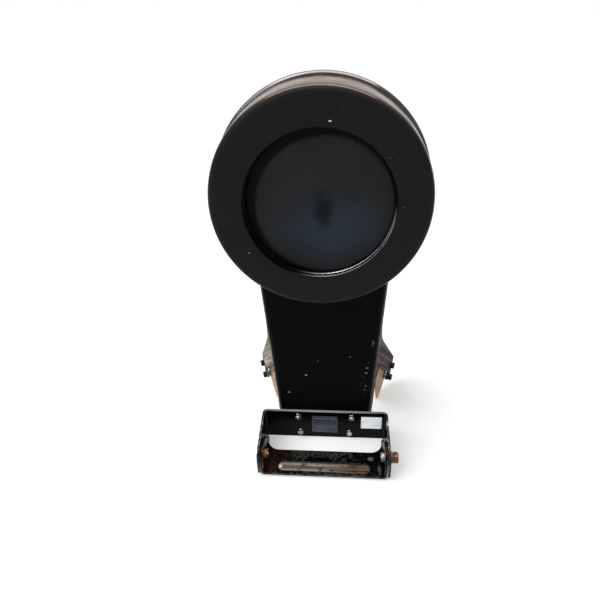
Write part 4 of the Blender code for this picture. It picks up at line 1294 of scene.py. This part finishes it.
@dataclass
class PedalBracket(SubAssembly):
    """Folded bracket in front of the tower, its hinged plate and the labels on its web."""

    edge: float = 0.0005
    label_corner: float = 0.0015
    sheet: float = 0.003
    bead_length: float = 0.136
    bead_width: float = 0.017
    bead_from_front: float = 0.0145
    lip_width: float = 0.0012
    lip_height: float = 0.0011
    hollow: float = 0.0014

    def build(self) -> None:
        """Build the bracket, the plate and the labels."""
        bracket = refined("pedal_bracket", "bracket_sheet", self.edge)
        self.publish(bracket, "tower", "black_steel", "pedal_bracket")
        plate = refined("pedal_plate", "clamp_plate", self.edge)
        self.publish(plate, "pedal_plate", "black_steel", "pedal_plate")
        self._bead()
        for node, name, slot in (("label_plate", "maker_plate", "label_blue"),
                                 ("sticker_plate", "side_sticker", "sticker_white")):
            low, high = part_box(node)
            self.publish(soft_plate(name, low, high, self.label_corner, 0.00012), "tower", slot, node)

    def _bead(self) -> None:
        """Rolled lip and hollow of the bead pressed into the plate."""
        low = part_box("pedal_plate")[0]
        deck = low.z + self.sheet
        reach = (self.bead_length - self.bead_width) / 2
        mesh = bmesh.new()
        bmesh.ops.create_circle(mesh, cap_ends=True, segments=48, radius=self.bead_width / 2 + self.lip_width,
                                matrix=Matrix.Rotation(math.pi / 48, 4, "Z"))
        for sign in (-1, 1):
            end = [vert for vert in mesh.verts if sign * vert.co.x > 0]
            bmesh.ops.translate(mesh, verts=end, vec=(sign * reach, 0, 0))
        if mesh.faces[:][0].normal.z < 0:
            bmesh.ops.reverse_faces(mesh, faces=mesh.faces)
        for thickness, depth in ((0.0006, self.lip_height), (0.0010, 0.0),
                                 (0.0012, -self.lip_height - 0.0008),
                                 (0.0016, -self.hollow + 0.0008), (0.0030, -0.0002)):
            bmesh.ops.inset_region(mesh, faces=[self._middle_face(mesh)], thickness=thickness, depth=depth,
                                   use_even_offset=True)
        bmesh.ops.translate(mesh, verts=mesh.verts, vec=(0, low.y + self.bead_from_front, deck))
        bead = link_mesh("bead_lip", mesh, 60.0)
        self.publish(bead, "pedal_plate", "black_steel")

    @staticmethod
    def _middle_face(mesh: bmesh.types.BMesh) -> bmesh.types.BMFace:
        """Face with the most sides, which is the middle of the bead."""
        return max(mesh.faces, key=lambda face: len(face.verts))

    def dress(self) -> None:
        """Give the bracket its glossy worn paint."""
        low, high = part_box("pedal_bracket")
        rust = tuple((Vector(point), size) for point, size in
                     (((low.x + 0.005, low.y + 0.030, 0.034), 0.016),
                      ((low.x + 0.004, low.y + 0.050, 0.018), 0.014),
                      ((high.x - 0.004, low.y + 0.040, 0.040), 0.009)))
        top = high.z
        # Bright line along the top edge and bright spot on the right flange: partly worn paint, partly
        # painted highlight.
        lines = ((Vector((0.0, high.y - 0.002, top)), 0.0016, (0.018, 0.5, 1), 0.45),
                 (Vector((high.x, low.y + 0.060, top - 0.004)), 0.004, (1, 0.8, 1), 0.5))
        glossy = PaintedSteel("bracket_paint", paint=(0.0009, 0.0009, 0.0009), gloss=0.16, specular=0.07,
                              edge_metal=(0.50, 0.47, 0.43), edge_width=0.0018, edge_wear=0.95, scratches=0.2,
                              lines=lines, rust=rust)
        self.paint(glossy, "bracket_sheet")
        low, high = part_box("pedal_plate")
        top = low.z + self.sheet
        wide = (0.45, 1.0, 1.0)
        rear = high.y - 0.022
        bare = ((Vector((-0.035, rear - 0.008, top)), 0.006, wide),
                (Vector((0.030, rear - 0.008, top)), 0.0065, wide),
                (Vector((0.0, rear - 0.006, top)), 0.005, (0.2, 1, 1)),
                (Vector((0.02, low.y + 0.003, top)), 0.004, (0.1, 1, 1)))
        rust = tuple((Vector(point), size) for point, size in
                     (((low.x + 0.012, low.y + 0.030, 0.008), 0.016),
                      ((low.x + 0.004, low.y + 0.025, 0.026), 0.013),
                      ((low.x + 0.014, low.y + 0.012, top), 0.012), ((-0.062, low.y + 0.026, top), 0.008)))
        # Painted reflections: pale streaks near the right end of the plate stand in for cool sky reflected in
        # it.
        painted_reflections = ((Vector((high.x - 0.022, high.y - 0.034, top)), 0.0030, (0.8, 1, 1), 0.16),
                (Vector((high.x - 0.010, low.y + 0.014, top)), 0.0080, (4.0, 1, 1), 0.10))
        rubbed = PaintedSteel("plate_paint", paint=(0.0012, 0.0012, 0.0013), gloss=0.20, specular=0.04,
                              edge_metal=(0.42, 0.40, 0.37), edge_width=0.0014, edge_wear=0.9, scratches=0.5,
                              lines=painted_reflections, rust=rust, bare=bare)
        self.paint(rubbed, "clamp_plate")
        self.paint(PressedBead("bead_worn"), "bead_lip")
        broad, thin = 0.0014, 0.0007
        rules = ((0.08, 0.62, 0.86, broad), (0.68, 0.92, 0.86, broad), (0.08, 0.92, 0.42, thin),
                 (0.08, 0.92, 0.32, thin), (0.08, 0.70, 0.22, thin), (0.08, 0.55, 0.12, thin))
        self.paint(PrintedPlate("maker_plate_print", "label_plate", ground=(0.020, 0.027, 0.046),
                                ink=(0.15, 0.17, 0.22), rules=rules), "maker_plate")
        line = 0.0009
        rules = ((0.10, 0.90, 0.78, line), (0.10, 0.80, 0.58, line), (0.40, 0.90, 0.26, line))
        # The sticker glows a little: painted light standing in for light falling on its face.
        self.paint(PrintedPlate("side_sticker_print", "sticker_plate", ground=(0.93, 0.97, 1.0),
                                ink=(0.12, 0.16, 0.24), rules=rules, roughness=0.4, glow=0.28),
                                "side_sticker")


@dataclass
class Spurs(SubAssembly):
    """Steel spurs that slide on the arms' tabs."""

    edge: float = 0.0005

    def build(self) -> None:
        """Build both spurs."""
        for side in Side:
            node = f"spur_{side.word}"
            self.publish(refined(node, f"spur_plate_{side.word}", self.edge), node, "spur_steel", node)

    def dress(self) -> None:
        """Give the spurs their worn yellow zinc."""
        # The spurs' upward faces get a pale painted light, and their near-white edges are partly painted
        # highlight.
        tan = Metal("spur_zinc", base=(0.40, 0.265, 0.135), stain=(0.17, 0.105, 0.052), roughness=0.42,
                    stained=0.4, brush=(60, 60, 420), metallic=0.2, edge=(0.95, 0.86, 0.70), specular=0.3,
                    upper=(0.95, 0.88, 0.74))
        self.paint(tan, "spur_plate_left", "spur_plate_right")


@dataclass
class JackBox(SubAssembly):
    """Jack box behind the tower with its socket, nut and two cover screws."""

    rounding: float = 0.0012
    screw: float = 0.0024
    bore: float = 0.0032
    sleeve: float = 0.0055

    def build(self) -> None:
        """Build the box, the socket and the screws."""
        housing = refined("jack_box", "jack_housing", self.rounding, 3)
        self.publish(housing, "tower", "case_plastic", "jack_box")
        low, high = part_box("output_jack")
        centre = Vector(((low.x + high.x) / 2, (low.y + high.y) / 2, low.z))
        length, bore, outer = high.z - low.z, self.bore, self.sleeve
        inner = length - 0.004
        profile = [(bore, 0, 0.0003), (outer, 0, 0.0006), (outer, 0.0055, 0), (outer + 0.0012, 0.0065, 0),
                   (outer + 0.0012, inner, 0), (bore + 0.0008, inner, 0), (bore, 0.003, 0)]
        socket = turned("jack_socket", profile, axis_frame(centre, UP), steps=48)
        self.publish(socket, "tower", "zinc_steel", "output_jack")
        start, height, across = span_on_axis("jack_nut", -UP)
        mesh = bmesh.new()
        bmesh.ops.create_cone(mesh, cap_ends=False, segments=6, radius1=across, radius2=across, depth=height)
        bmesh.ops.translate(mesh, verts=mesh.verts, vec=(0, 0, height / 2))
        bore_ring = bmesh.ops.create_cone(mesh, cap_ends=False, segments=6, radius1=outer + 0.0004,
                                          radius2=outer + 0.0004, depth=height)
        bmesh.ops.translate(mesh, verts=bore_ring["verts"], vec=(0, 0, height / 2))
        loops = [edge for edge in mesh.edges if abs(edge.verts[0].co.z - edge.verts[1].co.z) < MERGE]
        for level in (0.0, height):
            rim = [edge for edge in loops if abs(edge.verts[0].co.z - level) < MERGE]
            bmesh.ops.bridge_loops(mesh, edges=rim)
        bmesh.ops.recalc_face_normals(mesh, faces=mesh.faces)
        bmesh.ops.transform(mesh, matrix=axis_frame(start, -UP), verts=mesh.verts)
        nut = link_mesh("jack_ring_nut", mesh)
        round_edges(nut, 0.0003)
        self.publish(nut, "tower", "zinc_steel", "jack_nut")
        self._screws()

    def _screws(self) -> None:
        """Two pan-head screws on the box's back."""
        low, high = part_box("jack_box")
        for sign in (-1, 1):
            seat = Vector((sign * 0.016, high.y - 0.0002, (low.z + high.z) / 2))
            profile = [(0, 0, 0), (self.screw, 0, 0), (self.screw, 0.0006, 0.0002), (0.0012, 0.0014, 0.0002),
                       (0.0009, 0.0008, 0), (0, 0.0007, 0)]
            screw = turned(f"box_screw_{Side(sign).word}", profile, axis_frame(seat, Vector((0, 1, 0))),
                           False, 28)
            self.publish(screw, "tower", "zinc_steel")

    def dress(self) -> None:
        """Give the jack box its finishes."""
        self.paint(Plastic("box_plastic", roughness=0.6, specular=0.1), "jack_housing")
        self.paint(Metal("jack_nickel", (0.62, 0.60, 0.56), roughness=0.2), "jack_socket", "jack_ring_nut")
        self.paint(Metal("screw_black", (0.03, 0.03, 0.03), (0.06, 0.05, 0.04), 0.35, metallic=0.5),
                   "box_screw_left", "box_screw_right")


# ---------------------------------------------------------------- stage
@dataclass
class Studio:
    """Pale floor, soft light and the camera."""

    camera_place: Colour = (0.0209, -0.5396, 0.5770)
    yaw: float = -5.758
    pitch: float = 31.879
    roll: float = -2.646
    lens: float = 27.336
    sensor: float = 36.0
    floor_size: float = 60.0
    key_from: Colour = (-0.60, -0.20, 0.80)
    key_strength: float = 1.8
    key_spread: float = 50.0
    lit_sky: float = 0.5
    seen_sky: float = 1.0
    floor_glow: float = 0.34
    back_power: float = 28.0
    top_power: float = 120.0
    aim: Colour = (0.0, 0.0, 0.25)

    def build(self) -> None:
        """Build the floor, the light and the camera."""
        mesh = bmesh.new()
        bmesh.ops.create_grid(mesh, x_segments=8, y_segments=8, size=self.floor_size / 2)
        bmesh.ops.translate(mesh, verts=mesh.verts, vec=(0, 0, -0.0005))
        floor = link_mesh("studio_floor", mesh)
        floor.data.materials.append(StudioFloor(glow=self.floor_glow).make())
        self._sky()
        self._sun()
        self._panel("back_panel", (-0.3, 2.4, 2.0), (3.8, 3.6), self.back_power, (1.0, 0.80, 0.70))
        self._panel("top_panel", (0.0, 0.2, 2.6), (3.0, 2.0), self.top_power, (1.0, 0.84, 0.76))
        self._camera()

    def _sky(self) -> None:
        """Even white surroundings that light the pad less than they show."""
        world = bpy.data.worlds.new("studio_sky")
        bpy.context.scene.world = world
        world.use_nodes = True
        tree = world.node_tree
        lit = tree.nodes["Background"]
        seen = tree.nodes.new("ShaderNodeBackground")
        for sky, strength in ((lit, self.lit_sky), (seen, self.seen_sky)):
            sky.inputs["Color"].default_value = (1.0, 1.0, 1.0, 1.0)
            sky.inputs["Strength"].default_value = strength
        pick = tree.nodes.new("ShaderNodeMixShader")
        path = tree.nodes.new("ShaderNodeLightPath")
        tree.links.new(path.outputs["Is Camera Ray"], pick.inputs[0])
        tree.links.new(lit.outputs[0], pick.inputs[1])
        tree.links.new(seen.outputs[0], pick.inputs[2])
        tree.links.new(pick.outputs[0], tree.nodes["World Output"].inputs["Surface"])

    def _sun(self) -> None:
        """Very soft key light from the upper left."""
        data = bpy.data.lights.new("soft_key", "SUN")
        data.energy = self.key_strength
        data.angle = math.radians(self.key_spread)
        lamp = bpy.data.objects.new("soft_key", data)
        bpy.context.scene.collection.objects.link(lamp)
        lamp.rotation_euler = Vector(self.key_from).to_track_quat("Z", "Y").to_euler()

    def _panel(self, name: str, place: Colour, size: tuple[float, float], power: float, tint: Colour) -> None:
        """Soft rectangular light that faces the pad and shows in glossy surfaces only.

        Args:
            name: Name of the light.
            place: Where it stands.
            size: Width and height.
            power: Watts.
            tint: Its colour.
        """
        data = bpy.data.lights.new(name, "AREA")
        data.shape = "RECTANGLE"
        data.size, data.size_y = size
        data.energy = power
        data.color = tint
        lamp = bpy.data.objects.new(name, data)
        bpy.context.scene.collection.objects.link(lamp)
        lamp.location = place
        lamp.visible_camera = False
        lamp.visible_diffuse = False
        lamp.rotation_euler = (Vector(self.aim) - Vector(place)).to_track_quat("-Z", "Y").to_euler()

    def _camera(self) -> None:
        """Camera in front of and above the pad."""
        yaw, pitch, roll = (math.radians(angle) for angle in (self.yaw, self.pitch, self.roll))
        forward = Vector((math.sin(yaw) * math.cos(pitch), math.cos(yaw) * math.cos(pitch), -math.sin(pitch)))
        level = Vector((math.cos(yaw), -math.sin(yaw), 0))
        rise = level.cross(forward)
        right = level * math.cos(roll) + rise * math.sin(roll)
        up = rise * math.cos(roll) - level * math.sin(roll)
        data = bpy.data.cameras.new("view_camera")
        data.lens = self.lens
        data.sensor_width = self.sensor
        data.clip_start = 0.01
        eye = bpy.data.objects.new("view_camera", data)
        bpy.context.scene.collection.objects.link(eye)
        turn = Matrix((right, up, -forward)).transposed().to_4x4()
        eye.matrix_world = Matrix.Translation(Vector(self.camera_place)) @ turn
        bpy.context.scene.camera = eye
        bpy.context.scene.view_settings.view_transform = "Standard"


def main() -> None:
    """Build, dress and report the whole pad."""
    logging.basicConfig(level=logging.INFO, format="%(name)s %(message)s")
    Studio().build()
    for part in (Tower(), DrumPad(), PedalBracket(), Fasteners(), Spurs(), JackBox()):
        part.build()
        part.dress()
        part.report()


if __name__ == "__main__":
    main()
